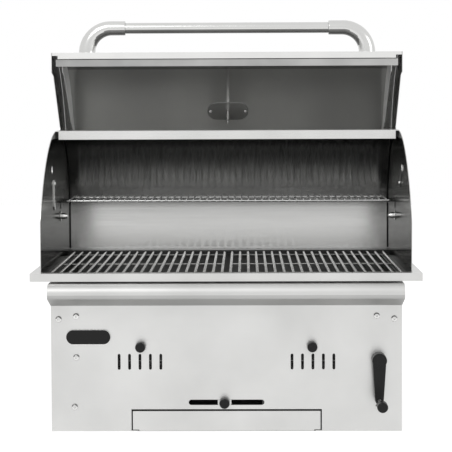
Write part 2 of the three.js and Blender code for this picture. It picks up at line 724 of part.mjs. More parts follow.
// The hood's pieces are drawn closed and turned open about the pivot.
function hoodPieces(group) {
  const shellEnd = [hoodBackY, hoodArcZ(hoodBackY, hoodRadius)];
  const arcFrom = hoodAngle(hoodBackY, hoodRadius);
  const arcTo = hoodAngle(hoodFaceY, hoodRadius);
  const centre = [archCentreY, archCentreZ];
  const outward = polar(gaugeAngle(), 1);
  const gaugeFoot = [0, archCentreY + outward[0] * hoodRadius, archCentreZ + outward[1] * hoodRadius];
  const gaugeWay = [0, outward[0], outward[1]];
  const gaugeHole = (radius, from, to) => rod(gaugeFoot, gaugeWay, radius, from, to, 24);

  const shell = alongX(folded([
    ...arc(centre, hoodRadius, arcFrom, arcTo, 32),
    [hoodFaceY, hoodBottom],
    [hoodFaceY + hoodLipDepth, hoodBottom],
  ], sheet), gap - cheekInnerX, cheekInnerX - gap);
  const lipEnd = hoodFaceY + hoodLipDepth;
  const notches = [-1, 1].map((side) => block(
    [side * (cheekInnerX - lipNotchInset), side * cheekInnerX],
    [lipEnd - lipNotchDepth, lipEnd + overrun], [hoodBottom - overrun, hoodBottom + 2 * sheet]));
  piece(group, 'hood_shell', cut(shell, gaugeHole(gaugeNeckRadius + gap, -overrun, overrun), ...notches),
    steel);

  const cheek = outline([
    [hoodFaceY, hoodBottom],
    [hoodFaceY + cheekFootDepth, hoodBottom],
    [hoodFaceY + cheekStepDepth, hoodBottom + cheekStepHeight],
    [cheekKneeY, cheekKneeZ],
    ...arc([pivotY, pivotZ], earRadius, 180, 360, 12),
    shellEnd,
    ...arc(centre, hoodRadius, arcFrom, arcTo, 32).slice(1),
  ]);
  for (const [side, name] of [[-1, 'hood_cheek_left'], [1, 'hood_cheek_right']]) {
    const bore = rod([0, pivotY, pivotZ], alongXAxis, pivotBoltRadius + gap,
      side * hoodHalfWidth - overrun, side * hoodHalfWidth + overrun, 16);
    piece(group, name, cut(alongX(cheek, side * cheekInnerX, side * hoodHalfWidth), bore), steel);
  }

  const linerFrom = hoodAngle(linerFaceY, linerRadius);
  const linerTo = hoodAngle(linerBackY, linerRadius);
  const rim = polar(linerTo, hoodRadius - sheet - gap);
  const foot = [lipEnd + sheet, lipEnd + linerFootDepth].map((y) => [y, hoodBottom + linerRecess]);
  const linerSheet = alongX(folded([
    ...foot,
    ...arc(centre, linerRadius, linerFrom, linerTo, 24),
    [archCentreY + rim[0], archCentreZ + rim[1]],
  ], thinSheet), -linerHalfWidth, linerHalfWidth);
  const linerFoot = alongX(folded(foot, thinSheet), -linerFootHalfWidth, linerFootHalfWidth);
  const roofReach = Math.hypot(pivotY - roofFrontY, roofTop - pivotZ) + linerEndClearance;
  const fromPivot = (y, z) => THREE.MathUtils.radToDeg(Math.atan2(z - pivotZ, y - pivotY));
  const linerEnd = outline([
    [foot[1][0] - thinSheet / 2, foot[1][1]],
    [hoodFaceY + cheekFootDepth, foot[1][1]],
    [hoodFaceY + cheekStepDepth, hoodBottom + cheekStepHeight],
    ...arc([pivotY, pivotZ], roofReach, fromPivot(cheekKneeY, cheekKneeZ),
      fromPivot(linerBackY, hoodArcZ(linerBackY, linerRadius)), 16)
      .filter(([y, z]) => Math.hypot(y - archCentreY, z - archCentreZ) < linerRadius),
    ...arc(centre, linerRadius + thinSheet / 2, linerTo, linerFrom, 24),
  ]);
  const linerEnds = [-1, 1].map((side) => alongX(linerEnd, side * (linerHalfWidth - thinSheet),
    side * linerHalfWidth));
  const liner = join(linerSheet, linerFoot, ...linerEnds);
  piece(group, 'hood_liner', cut(liner, gaugeHole(gaugeStemRadius + gap,
    -linerSpacing - overrun, -linerSpacing + overrun)), innerSteel);

  hoodHandle(group);
  thermometer(group, gaugeFoot, gaugeWay);

  const halfPlate = coverPlateHeight / 2;
  const plateDrop = linerRadius - Math.sqrt(linerRadius ** 2 - halfPlate ** 2);
  const plateTop = -linerSpacing - plateDrop - gap;
  const plateEnd = coverPlateLength / 2 - halfPlate;
  const plate = alongZ(pill([-plateEnd, 0], [plateEnd, 0], halfPlate, 12), plateTop - thinSheet, plateTop);
  const tilt = THREE.MathUtils.degToRad(90 - gaugeElevation);
  const turn = new THREE.Matrix4().makeRotationX(tilt).setPosition(...gaugeFoot);
  piece(group, 'inner_cover_plate', cut(plate.transform(turn.elements),
    gaugeHole(gaugeStemRadius + gap, plateTop - overrun, plateTop + overrun)), chrome);
}

function gaugeAngle() {
  return 180 - gaugeElevation;
}

function polar(degrees, radius) {
  const angle = THREE.MathUtils.degToRad(degrees);
  return [radius * Math.cos(angle), radius * Math.sin(angle)];
}

function hoodHandle(group) {
  const tubeY = hoodFaceY - handleStandoff;
  piece(group, 'handle_tube', rod([0, tubeY, handleZ], alongXAxis, handleRadius,
    gap - handleHalfLength, handleHalfLength - gap, 24), steel);
  for (const [side, name] of [[-1, 'handle_elbow_left'], [1, 'handle_elbow_right']]) {
    const bendX = elbowX - elbowBendRadius;
    const footY = hoodFaceY - gap;
    const bend = arc([bendX, tubeY + elbowBendRadius], elbowBendRadius, 270, 360, 12);
    const path = [[handleHalfLength, tubeY], ...bend, [elbowX, footY]];
    piece(group, name, sweptFlat(path.map(([x, y]) => [side * x, y]), handleZ,
      elbowSocketRadius, elbowFootRadius, 20), steel);
  }
}

// A round bar swept along a path in a level plane, growing evenly from one radius to the other.
function sweptFlat(path, height, startRadius, endRadius, sides) {
  const corners = [];
  path.forEach(([x, y], i) => {
    const before = path[Math.max(i - 1, 0)];
    const after = path[Math.min(i + 1, path.length - 1)];
    const length = Math.hypot(after[0] - before[0], after[1] - before[1]);
    const across = [(before[1] - after[1]) / length, (after[0] - before[0]) / length];
    const radius = startRadius + ((endRadius - startRadius) * i) / (path.length - 1);
    for (let k = 0; k < sides; k += 1) {
      const angle = (2 * Math.PI * k) / sides;
      const aside = radius * Math.cos(angle);
      corners.push(x + across[0] * aside, y + across[1] * aside, height + radius * Math.sin(angle));
    }
  });
  const faces = [];
  for (let i = 0; i < path.length - 1; i += 1) {
    for (let k = 0; k < sides; k += 1) {
      const [a, b] = [i * sides + k, i * sides + ((k + 1) % sides)];
      faces.push(a, b, b + sides, a, b + sides, a + sides);
    }
  }
  const last = (path.length - 1) * sides;
  for (let k = 1; k < sides - 1; k += 1) {
    faces.push(0, k + 1, k, last, last + k, last + k + 1);
  }
  const geometry = new THREE.BufferGeometry();
  geometry.setAttribute('position', new THREE.Float32BufferAttribute(corners, 3));
  geometry.setIndex(faces);
  return solid(geometry);
}

function thermometer(group, foot, way) {
  const wellRadius = gaugeRadius - gaugeWall;
  const lipBottom = gaugeHeight - gaugeLipHeight;
  piece(group, 'thermometer_case', turned([
    [0, -gaugeStemLength],
    [gaugeStemRadius, -gaugeStemLength],
    [gaugeStemRadius, -gaugeNeckLength],
    [gaugeNeckRadius, -gaugeNeckLength],
    [gaugeNeckRadius, gap],
    [gaugeRadius, gap],
    [gaugeRadius, gaugeHeight],
    [gaugeRadius - gaugeLip, gaugeHeight],
    [gaugeRadius - gaugeLip, lipBottom],
    [wellRadius, lipBottom],
    [wellRadius, gaugeFloor],
    [0, gaugeFloor],
  ], foot, way, 32), chrome);
  const dialBottom = gaugeFloor + gap;
  piece(group, 'thermometer_dial', rod(foot, way, wellRadius - gap, dialBottom,
    dialBottom + gaugeDialHeight, 32), dialWhite);
  piece(group, 'thermometer_glass', rod(foot, way, wellRadius - gap, lipBottom - gap - gaugeGlassHeight,
    lipBottom - gap, 32), clearGlass);
  const needleBottom = dialBottom + gaugeDialHeight + gap;
  const hub = alongZ(outline(arc([0, 0], needleHubRadius, 0, 330, 11)), needleBottom,
    needleBottom + needleHubHeight);
  const angle = THREE.MathUtils.degToRad(needleRestAngle);
  const tip = [needleLength * Math.cos(angle), needleLength * Math.sin(angle)];
  const side = [-Math.sin(angle) * needleWidth / 2, Math.cos(angle) * needleWidth / 2];
  const blade = alongZ(outline([[side[0], side[1]], [-side[0], -side[1]], tip]), needleBottom,
    needleBottom + needleHeight);
  const tilt = THREE.MathUtils.degToRad(90 - gaugeElevation);
  const turn = new THREE.Matrix4().makeRotationX(tilt).setPosition(...foot);
  piece(group, 'thermometer_needle', join(hub, blade).transform(turn.elements), needleRed);
}

// A black pull knob with its stem, standing off a face toward the front.
function knobShape(x, z, stemEnd) {
  return turned([
    [0, stemEnd],
    [knobStemRadius, stemEnd],
    [knobStemRadius, 0],
    [knobRadius - knobRound / 2, 0],
    [knobRadius, knobRound],
    [knobRadius, knobLength - knobRound],
    [knobRadius - knobRound, knobLength],
    [0, knobLength],
  ], [x, knobFaceY, z], towardFront, 20);
}

function vents(group) {
  const stemEnd = knobFaceY - pocketY + gap;
  for (const [side, name] of [[-1, 'left_vent'], [1, 'right_vent']]) {
    const half = (ventSlots * ventPitch) / 2 + ventDamperMargin / 2;
    const slots = Array.from({ length: ventSlots }, (_, i) => {
      const x = side * ventX + (i - (ventSlots - 1) / 2) * ventPitch;
      const radius = ventSlotWidth / 2;
      return alongY(pill([x, ventBottom + radius], [x, ventTop - radius], radius, 6),
        pocketY - overrun, pocketY + sheet + overrun);
    });
    const plate = block([side * ventX - half, side * ventX + half], [pocketY, pocketY + sheet],
      [ventBottom - ventDamperMargin, ventDamperTop]);
    piece(group, `${name}_damper`, cut(plate, ...slots), zincSteel);
    piece(group, `${name}_knob`, knobShape(side * ventKnobX, ventKnobZ, stemEnd), blackPlastic);
  }

  const tabHalf = shutterTabWidth / 2;
  const windowHalf = shutterSlotHeight / 2;
  const plateHalf = shutterPlateHeight / 2;
  const window = (side) => block(
    [shutterRestX + side * tabHalf, shutterRestX + side * shutterSlotHalfLength],
    [pocketY - overrun, pocketY + sheet + overrun], [shutterZ - windowHalf, shutterZ + windowHalf]);
  const reach = [shutterRestX - shutterPlateHalfLength, shutterRestX + shutterPlateHalfLength];
  const plate = block(reach, [pocketY, pocketY + sheet], [shutterZ - plateHalf, shutterZ + plateHalf]);
  const tab = block([shutterRestX - tabHalf, shutterRestX + tabHalf], [panelFaceY, pocketY + sheet],
    [shutterZ - windowHalf + gap, shutterZ + windowHalf - gap]);
  piece(group, 'air_shutter', join(cut(plate, window(-1), window(1)), tab), steel);
  piece(group, 'air_shutter_knob', knobShape(shutterRestX, shutterZ, knobFaceY - panelFaceY + gap),
    blackPlastic);
}

function ashDrawer(group) {
  const back = pocketY + drawerDepth;
  const body = block([-drawerHalfWidth, drawerHalfWidth], [pocketY, back], [drawerBottom, drawerTop]);
  const hollow = block([thinSheet - drawerHalfWidth, drawerHalfWidth - thinSheet],
    [pocketY + thinSheet, back - thinSheet], [drawerBottom + thinSheet, drawerTop + overrun]);
  piece(group, 'ash_drawer', cut(body, hollow), zincSteel);
  const fingerHalf = drawerFrontHalfWidth - panelTabLength;
  piece(group, 'ash_drawer_front', join(
    block([-drawerFrontHalfWidth, drawerFrontHalfWidth], [panelFaceY, panelBackY],
      [drawerFrontBottom, drawerFrontTop]),
    block([-fingerHalf, fingerHalf], [panelFaceY, panelBackY], [gap, drawerFrontBottom + overrun])), steel);
  for (const [side, name] of [[-1, 'drawer_rail_left'], [1, 'drawer_rail_right']]) {
    const outer = drawerHalfWidth + gap + thinSheet;
    const foot = block([side * (outer - drawerRailWidth), side * outer], [pocketY, back],
      [sheet + gap, drawerBottom - gap]);
    const fence = block([side * (outer - thinSheet), side * outer], [pocketY, back],
      [sheet + gap, drawerRailHeight]);
    piece(group, name, join(foot, fence), zincSteel);
  }
}

// An involute pinion's outline, with a tooth centred on the -X side.
function pinionOutline() {
  const pressure = THREE.MathUtils.degToRad(pressureAngle);
  const baseRadius = pinionRadius * Math.cos(pressure);
  const involute = (angle) => Math.tan(angle) - angle;
  const halfTooth = (toothPitch / 2 - toothBacklash / 2) / 2 / pinionRadius + involute(pressure);
  const rootRadius = pinionRadius - pinionDedendum;
  const tipRadius = pinionRadius + pinionAddendum;
  const flank = Array.from({ length: 5 }, (_, i) => {
    const radius = baseRadius + ((tipRadius - baseRadius) * i) / 4;
    return [radius, halfTooth - involute(Math.acos(baseRadius / radius))];
  });
  const tooth = [[rootRadius, flank[0][1]], ...flank];
  const corner = (radius, angle) => [radius * Math.cos(angle), radius * Math.sin(angle)];
  return outline(Array.from({ length: pinionTeeth }, (_, n) => {
    const middle = Math.PI + (2 * Math.PI * n) / pinionTeeth;
    return [
      ...tooth.map(([radius, half]) => corner(radius, middle - half)),
      ...[...tooth].reverse().map(([radius, half]) => corner(radius, middle + half)),
    ];
  }).flat());
}

function crank(group) {
  const bushFace = panelFaceY - gap;
  piece(group, 'crank_bush', turned([
    [shaftRadius + gap, -bushLength],
    [bushRadius, -bushLength],
    [bushRadius, 0],
    [bushFlangeRadius, 0],
    [bushFlangeRadius, bushFlangeHeight / 2],
    [bushFlangeRadius - bushFlangeHeight / 2, bushFlangeHeight],
    [shaftRadius + gap, bushFlangeHeight],
    [shaftRadius + gap, -bushLength],
  ], [crankX, bushFace, crankZ], towardFront, 24), chrome);

  const bearingFace = firebackY - sheet - gap;
  piece(group, 'shaft_bearing', turned([
    [shaftRadius + gap, -bearingLength],
    [bearingRadius, -bearingLength],
    [bearingRadius, 0],
    [shaftRadius + gap, 0],
    [shaftRadius + gap, -bearingLength],
  ], [crankX, bearingFace, crankZ], alongYAxis, 20), zincSteel);

  const hubBack = bushFace - bushFlangeHeight - gap;
  const hubFront = hubBack - crankHubLength;
  const shaftFront = hubFront + crankHubLength / 3;
  const pinions = [-pinionY, pinionY].map((y) => alongY(pinionOutline(),
    y - pinionWidth / 2, y + pinionWidth / 2).translate([crankX, 0, crankZ]));
  piece(group, 'crank_shaft', join(rod([crankX, 0, crankZ], alongYAxis, shaftRadius, shaftFront,
    shaftBackY, 16), ...pinions), zincSteel);

  const armFront = hubFront + crankHubLength / 6;
  const armBack = armFront + crankArmHeight;
  const tipZ = crankZ - crankArmLength;
  const tipHalf = crankArmTipWidth / 2;
  const arm = alongY(outline([
    [crankX + crankArmRootWidth / 2, crankZ],
    [crankX - crankArmRootWidth / 2, crankZ],
    ...arc([crankX, tipZ], tipHalf, 180, 360, 10),
  ]), armFront, armBack);
  const hub = rod([crankX, 0, crankZ], alongYAxis, crankHubRadius, hubFront, hubBack, 24);
  const bore = rod([crankX, 0, crankZ], alongYAxis, shaftRadius + gap, shaftFront - gap,
    hubBack + overrun, 16);
  const eye = rod([crankX, 0, tipZ], alongYAxis, spindleRadius + gap, armFront - overrun,
    armBack + overrun, 16);
  piece(group, 'crank_arm', cut(join(hub, arm), bore, eye), blackPlastic);

  const spindleFront = armBack - spindleLength;
  piece(group, 'crank_spindle', rod([crankX, 0, tipZ], alongYAxis, spindleRadius, spindleFront,
    armBack, 16), zincSteel);
  const knobFront = spindleFront - crankKnobCap;
  const knobBore = rod([crankX, 0, tipZ], alongYAxis, spindleRadius + gap, spindleFront - gap,
    spindleFront + crankKnobLength + overrun, 16);
  piece(group, 'crank_knob', cut(turned([
    [0, 0],
    [crankKnobRadius - crankKnobRound, 0],
    [crankKnobRadius, crankKnobRound],
    [crankKnobRadius, crankKnobLength - crankKnobRound],
    [crankKnobRadius - crankKnobRound, crankKnobLength],
    [0, crankKnobLength],
  ], [crankX, knobFront, tipZ], alongYAxis, 20), knobBore), blackPlastic);
}

// A lift rack's outline in X and Z, with a gap between teeth at the shaft's height.
function liftRackOutline() {
  const pitchX = crankX - pinionRadius;
  const slope = Math.tan(THREE.MathUtils.degToRad(pressureAngle));
  const half = (toothPitch / 2 - toothBacklash / 2) / 2;
  const [rootX, tipX] = [pitchX - rackDedendum, pitchX + rackAddendum];
  const rootHalf = half + rackDedendum * slope;
  const tipHalf = half - rackAddendum * slope;
  const points = [[rootX - liftRackBack, liftRackBottom], [rootX, liftRackBottom]];
  const first = Math.ceil((liftRackBottom - crankZ) / toothPitch) + 0.5;
  for (let n = first; crankZ + (n + 0.5) * toothPitch < liftRackTop; n += 1) {
    const z = crankZ + n * toothPitch;
    points.push([rootX, z - rootHalf], [tipX, z - tipHalf], [tipX, z + tipHalf], [rootX, z + rootHalf]);
  }
  points.push([rootX, liftRackTop], [rootX - liftRackBack, liftRackTop]);
  return outline(points);
}

function charcoalTray(group) {
  const body = block([-trayHalfWidth, trayHalfWidth], [-trayHalfDepth, trayHalfDepth],
    [trayBottom, trayBottom + trayHeight]);
  const hollow = block([sheet - trayHalfWidth, trayHalfWidth - sheet],
    [sheet - trayHalfDepth, trayHalfDepth - sheet], [trayBottom + sheet, trayBottom + trayHeight + overrun]);
  const slots = Array.from({ length: traySlots }, (_, i) => {
    const x = (i - (traySlots - 1) / 2) * traySlotPitch;
    return block([x - traySlotWidth / 2, x + traySlotWidth / 2], [-traySlotHalfLength, traySlotHalfLength],
      [trayBottom - overrun, trayBottom + sheet + overrun]);
  });
  const tongues = [-1, 1].flatMap((side) => [-1, 1].map((end) => block(
    [side * guideX - tongueWidth / 2, side * guideX + tongueWidth / 2],
    [end * (trayHalfDepth - sheet), end * (trayHalfDepth + tongueReach)],
    [tongueBottom, tongueBottom + tongueHeight])));
  piece(group, 'charcoal_tray', join(cut(body, hollow, ...slots), ...tongues), innerSteel);

  const emberZ = trayBottom + sheet + gap + emberBarRadius;
  const reach = trayHalfDepth - sheet - emberEndClearance;
  const places = Array.from({ length: emberBars }, (_, i) => (i - (emberBars - 1) / 2) * emberPitch);
  const bars = places.map((x) => rod([x, 0, emberZ], alongYAxis, emberBarRadius, -reach, reach, 6));
  const cross = [-emberCrossY, emberCrossY].map((y) => rod([0, y, emberZ + emberBarRadius], alongXAxis,
    emberBarRadius, places[0], places.at(-1), 6));
  piece(group, 'charcoal_grate', join(...cross, ...bars), zincSteel);

  const rackShape = liftRackOutline();
  const racks = [-pinionY, pinionY].map((y) => alongY(rackShape, y - liftRackHalfWidth,
    y + liftRackHalfWidth));
  const rackBackX = crankX - pinionRadius - rackDedendum - liftRackBack;
  const bar = block([trayHalfWidth + gap, rackBackX + gap], [-pinionY, pinionY],
    [liftBarBottom, liftBarBottom + liftBarHeight]);
  piece(group, 'lift_rack', join(bar, ...racks), zincSteel);

  for (const [end, wallY, name] of [[1, pocketY, 'tray_guide_front'],
    [-1, firebackY - sheet - gap, 'tray_guide_rear']]) {
    const web = [wallY, wallY + end * sheet];
    const channel = (side) => join(
      block([side * guideX - guideWidth / 2, side * guideX + guideWidth / 2], web, [guideBottom, guideTop]),
      ...[-1, 1].map((edge) => block(
        [side * guideX + (edge * guideWidth) / 2, side * guideX + edge * (guideWidth / 2 - sheet)],
        [wallY, wallY + end * guideDepth], [guideBottom, guideTop])));
    const strip = block([-guideX, guideX], web, [guideBottom, guideBottom + guideStripHeight]);
    piece(group, name, join(strip, channel(-1), channel(1)), zincSteel);
  }
}

const grill = new THREE.Group();
bodyPanels(grill);
chamber(grill);
hoodPivots(grill);
grates(grill);
const coverReach = Math.hypot(spitHoleY - coverPivotY, spitHoleZ - coverPivotZ);
spitCover(grill, 'left_spit_cover', -1, [coverPivotY, coverPivotZ - coverReach]);
spitCover(grill, 'right_spit_cover', 1, [spitHoleY, spitHoleZ]);
vents(grill);
ashDrawer(grill);
crank(grill);
charcoalTray(grill);

const hood = new THREE.Group();
hood.position.set(0, pivotY, pivotZ);
hood.rotation.x = -Math.PI / 2;
const closedHood = new THREE.Group();
closedHood.position.set(0, -pivotY, -pivotZ);
hoodPieces(closedHood);
hood.add(closedHood);
grill.add(hood);

export default grill;
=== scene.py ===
"""The looks of a built-in charcoal grill with its hood open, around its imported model."""

import math

import bpy
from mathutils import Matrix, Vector


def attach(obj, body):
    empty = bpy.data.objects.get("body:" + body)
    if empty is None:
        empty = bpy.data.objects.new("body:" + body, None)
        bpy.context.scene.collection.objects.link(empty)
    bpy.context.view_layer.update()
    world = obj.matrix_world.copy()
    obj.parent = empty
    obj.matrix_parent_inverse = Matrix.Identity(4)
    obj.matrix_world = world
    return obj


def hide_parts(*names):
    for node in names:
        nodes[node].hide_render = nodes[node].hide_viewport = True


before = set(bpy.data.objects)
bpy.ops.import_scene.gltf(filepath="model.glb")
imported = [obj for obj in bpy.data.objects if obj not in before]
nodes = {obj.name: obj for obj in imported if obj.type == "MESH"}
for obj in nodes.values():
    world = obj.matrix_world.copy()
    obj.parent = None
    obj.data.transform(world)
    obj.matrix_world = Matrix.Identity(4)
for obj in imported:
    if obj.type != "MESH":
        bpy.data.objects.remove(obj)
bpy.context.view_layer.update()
MM = 0.001
LEFT_AND_RIGHT = ((-1, "left"), (1, "right"))

UP = Vector((0, 0, 1))
FORWARD = (0, -1, 0)

# Places that the looks share with the model, in millimetres
PANEL_FACE = -250
PIVOT_Y, PIVOT_Z = 87, 422
HANDLE_Y, HANDLE_Z = 56, 843.5
CRANK_X, CRANK_Z, CRANK_TIP_Z = 312.9, 150, 68

# Finishing of every mesh: angles in degrees, a distance in metres
EDGE_STEPS = 2
SHARP_ANGLE = 32
SMOOTH_ANGLE = 40
EVENING_WEIGHT = 100
SAME_POINT = 0.000002
SAME_PLANE_ANGLE = 0.4


def put_down():
    """Leaves object mode with nothing selected."""
    if bpy.context.object and bpy.context.object.mode != "OBJECT":
        bpy.ops.object.mode_set(mode="OBJECT")
    bpy.ops.object.select_all(action="DESELECT")


def pick_up(piece):
    """Selects one piece alone and works on it."""
    put_down()
    piece.select_set(True)
    bpy.context.view_layer.objects.active = piece


def settle(piece):
    """Puts the piece's place into its mesh."""
    pick_up(piece)
    bpy.ops.object.transform_apply(location=True, rotation=True, scale=True)


def ease_edges(piece, width):
    """Rounds the sharp edges and shades the rest smoothly."""
    pick_up(piece)
    if width:
        bevel = piece.modifiers.new("eased edges", "BEVEL")
        bevel.width = width * MM
        bevel.segments = EDGE_STEPS
        bevel.limit_method = "ANGLE"
        bevel.angle_limit = math.radians(SHARP_ANGLE)
        bpy.ops.object.modifier_apply(modifier=bevel.name)
    bpy.ops.object.shade_smooth_by_angle(angle=math.radians(SMOOTH_ANGLE))
    evened = piece.modifiers.new("flat faces kept flat", "WEIGHTED_NORMAL")
    evened.keep_sharp = True
    evened.weight = EVENING_WEIGHT
    bpy.ops.object.modifier_apply(modifier=evened.name)


def from_solid(node, width=0.3):
    """A flat or folded sheet piece: the solid's own faces, made whole, with eased edges."""
    put_down()
    piece = bpy.data.objects.new(f"{node}_metal", nodes[node].data.copy())
    bpy.context.scene.collection.objects.link(piece)
    pick_up(piece)
    bpy.ops.object.mode_set(mode="EDIT")
    bpy.ops.mesh.select_all(action="SELECT")
    bpy.ops.mesh.remove_doubles(threshold=SAME_POINT)
    bpy.ops.mesh.dissolve_limited(angle_limit=math.radians(SAME_PLANE_ANGLE))
    bpy.ops.object.mode_set(mode="OBJECT")
    ease_edges(piece, width)
    return piece


def turned(name, foot, way, rings, sides=48, width=0):
    """A turned piece: each ring is a radius and a height along the way that it points."""
    put_down()
    radius, height = rings[0]
    bpy.ops.mesh.primitive_circle_add(vertices=sides, radius=radius * MM, fill_type="NGON",
                                      location=(0, 0, height * MM))
    piece = bpy.context.object
    piece.name = name
    settle(piece)
    bpy.ops.object.mode_set(mode="EDIT")
    bpy.ops.mesh.select_all(action="SELECT")
    for wide, high in rings[1:]:
        bpy.ops.mesh.extrude_region_move(
            TRANSFORM_OT_translate={"value": (0, 0, (high - height) * MM)})
        growth = wide / radius
        bpy.ops.transform.resize(value=(growth, growth, 1), center_override=(0, 0, high * MM))
        radius, height = wide, high
    bpy.ops.mesh.select_all(action="SELECT")
    bpy.ops.mesh.normals_make_consistent(inside=False)
    bpy.ops.object.mode_set(mode="OBJECT")
    piece.rotation_mode = "QUATERNION"
    piece.rotation_quaternion = UP.rotation_difference(Vector(way))
    piece.location = Vector(foot) * MM
    settle(piece)
    ease_edges(piece, width)
    return piece


def round_bar(name, start, end, radius, sides=16, width=0.4):
    """A straight bar between two points."""
    put_down()
    start, end = Vector(start) * MM, Vector(end) * MM
    bpy.ops.mesh.primitive_cylinder_add(vertices=sides, radius=radius * MM,
                                        depth=(end - start).length, location=(start + end) / 2)
    piece = bpy.context.object
    piece.name = name
    piece.rotation_mode = "QUATERNION"
    piece.rotation_quaternion = UP.rotation_difference(end - start)
    settle(piece)
    ease_edges(piece, width)
    return piece


def in_a_row(piece, count, step):
    """Repeats a piece by an even step."""
    pick_up(piece)
    row = piece.modifiers.new("row", "ARRAY")
    row.count = count
    row.use_relative_offset = False
    row.use_constant_offset = True
    row.constant_offset_displace = Vector(step) * MM
    bpy.ops.object.modifier_apply(modifier=row.name)
    return piece


def join_up(name, pieces):
    """Makes one piece of several."""
    put_down()
    for piece in pieces:
        piece.select_set(True)
    bpy.context.view_layer.objects.active = pieces[0]
    bpy.ops.object.join()
    whole = bpy.context.object
    whole.name = name
    return whole


def refinish(piece, finish, chosen):
    """A second finish on faces that are picked by their middle, in millimetres, and their way."""
    piece.data.materials.append(finish)
    for face in piece.data.polygons:
        if chosen(face.center / MM, face.normal):
            face.material_index = len(piece.data.materials) - 1


def fit(piece, body, finish, slot, *stands_for):
    """Gives a piece its finish and the body that it moves with."""
    piece.data.materials.clear()
    piece.data.materials.append(finish)
    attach(piece, body)
    if stands_for:
        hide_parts(*stands_for)
    return piece


# Finishes: shares from 0 to 1, grain in lines to the metre along each axis, heights in metres

BRUSHED_GRAIN = (9, 900, 900)
TUBE_GRAIN = (9, 700, 700)
ROLLED_GRAIN = (6, 500, 500)
RAIL_GRAIN = (20, 300, 300)
BAR_GRAIN = (300, 20, 300)
WALL_GRAIN = (40, 8, 60)
FOOT_GRAIN = (14, 60, 120)
ZINC_GRAIN = (90, 90, 90)
FINE_GRAIN = (60, 60, 60)
PLATED_GRAIN = (50, 50, 50)
FIRED_GRAIN = (40, 40, 40)
GRAIN_DETAIL = 5
GRAIN_DEPTH = 0.00015
CLOUD_SCALE, CLOUD_DETAIL = 7, 3
BRUSHING_TURN = 0.25
PORE_SCALE, PORE_DETAIL = 2400, 2
PORE_STRENGTH, PORE_DEPTH = 0.12, 0.00006
PORE_POLISH, PORE_DULLING = 0.06, 0.08
PLASTIC_SHINE = 0.25


def new_finish(name, colour, roughness, metallic):
    """A plain material, with its node tree and its shader."""
    finish = bpy.data.materials.new(name)
    finish.use_nodes = True
    shader = finish.node_tree.nodes["Principled BSDF"]
    shader.inputs["Base Color"].default_value = (*colour, 1)
    shader.inputs["Roughness"].default_value = roughness
    shader.inputs["Metallic"].default_value = metallic
    return finish, finish.node_tree, shader


def grain(tree, stretch, scale, detail):
    """Noise on the piece's own coordinates, stretched along its grain."""
    place = tree.nodes.new("ShaderNodeTexCoord")
    stretched = tree.nodes.new("ShaderNodeMapping")
    stretched.inputs["Scale"].default_value = stretch
    noise = tree.nodes.new("ShaderNodeTexNoise")
    noise.inputs["Scale"].default_value = scale
    noise.inputs["Detail"].default_value = detail
    tree.links.new(place.outputs["Object"], stretched.inputs["Vector"])
    tree.links.new(stretched.outputs["Vector"], noise.inputs["Vector"])
    return noise.outputs["Fac"]


def spread(tree, value, low, high, from_low=0.3, from_high=0.7):
    """A value brought from one range to another."""
    ranged = tree.nodes.new("ShaderNodeMapRange")
    ranged.inputs["From Min"].default_value = from_low
    ranged.inputs["From Max"].default_value = from_high
    ranged.inputs["To Min"].default_value = low
    ranged.inputs["To Max"].default_value = high
    tree.links.new(value, ranged.inputs["Value"])
    return ranged.outputs["Result"]


def between(tree, share, one, other):
    """A colour between two, by a share from 0 to 1."""
    blended = tree.nodes.new("ShaderNodeMix")
    blended.data_type = "RGBA"
    blended.inputs["A"].default_value = (*one, 1)
    blended.inputs["B"].default_value = (*other, 1)
    tree.links.new(share, blended.inputs["Factor"])
    return blended.outputs["Result"]


def raise_up(tree, shader, height, strength, distance):
    """Fine relief on the surface."""
    bump = tree.nodes.new("ShaderNodeBump")
    bump.inputs["Strength"].default_value = strength
    bump.inputs["Distance"].default_value = distance
    tree.links.new(height, bump.inputs["Height"])
    tree.links.new(bump.outputs["Normal"], shader.inputs["Normal"])


def steel(name, dark, light, smooth, rough, along, bump, brushed=0):
    """Stainless steel: fine grain along one way, over faint cloudy patches."""
    finish, tree, shader = new_finish(name, light, rough, 1)
    if brushed:
        lengthwise = tree.nodes.new("ShaderNodeCombineXYZ")
        lengthwise.inputs["X"].default_value = 1
        tree.links.new(lengthwise.outputs["Vector"], shader.inputs["Tangent"])
        shader.inputs["Anisotropic"].default_value = brushed
        shader.inputs["Anisotropic Rotation"].default_value = BRUSHING_TURN
    lines = grain(tree, along, 1, GRAIN_DETAIL)
    clouds = grain(tree, (1, 1, 1), CLOUD_SCALE, CLOUD_DETAIL)
    tree.links.new(spread(tree, lines, smooth, rough), shader.inputs["Roughness"])
    tone = between(tree, spread(tree, clouds, 0, 1), dark, light)
    tree.links.new(tone, shader.inputs["Base Color"])
    raise_up(tree, shader, lines, bump, GRAIN_DEPTH)
    return finish


def by_height(tree, low, high, from_height, to_height):
    """A value that changes between two heights, in metres."""
    place = tree.nodes.new("ShaderNodeTexCoord")
    parts = tree.nodes.new("ShaderNodeSeparateXYZ")
    tree.links.new(place.outputs["Object"], parts.inputs["Vector"])
    return spread(tree, parts.outputs["Z"], low, high, from_height, to_height)


def paint_light_or_shade_by_height(finish, plain, tinted, tint):
    """Painted light or painted shade: a colour that grows over the base colour from one height to
    another, in metres.
    """
    tree = finish.node_tree
    shader = tree.nodes["Principled BSDF"]
    blended = tree.nodes.new("ShaderNodeMix")
    blended.data_type = "RGBA"
    blended.inputs["B"].default_value = (*tint, 1)
    tree.links.new(shader.inputs["Base Color"].links[0].from_socket, blended.inputs["A"])
    tree.links.new(by_height(tree, 0, 1, plain, tinted), blended.inputs["Factor"])
    tree.links.new(blended.outputs["Result"], shader.inputs["Base Color"])


def grey(level):
    """A metal's grey, a touch warmer than neutral."""
    return (level, level, level * 0.985)
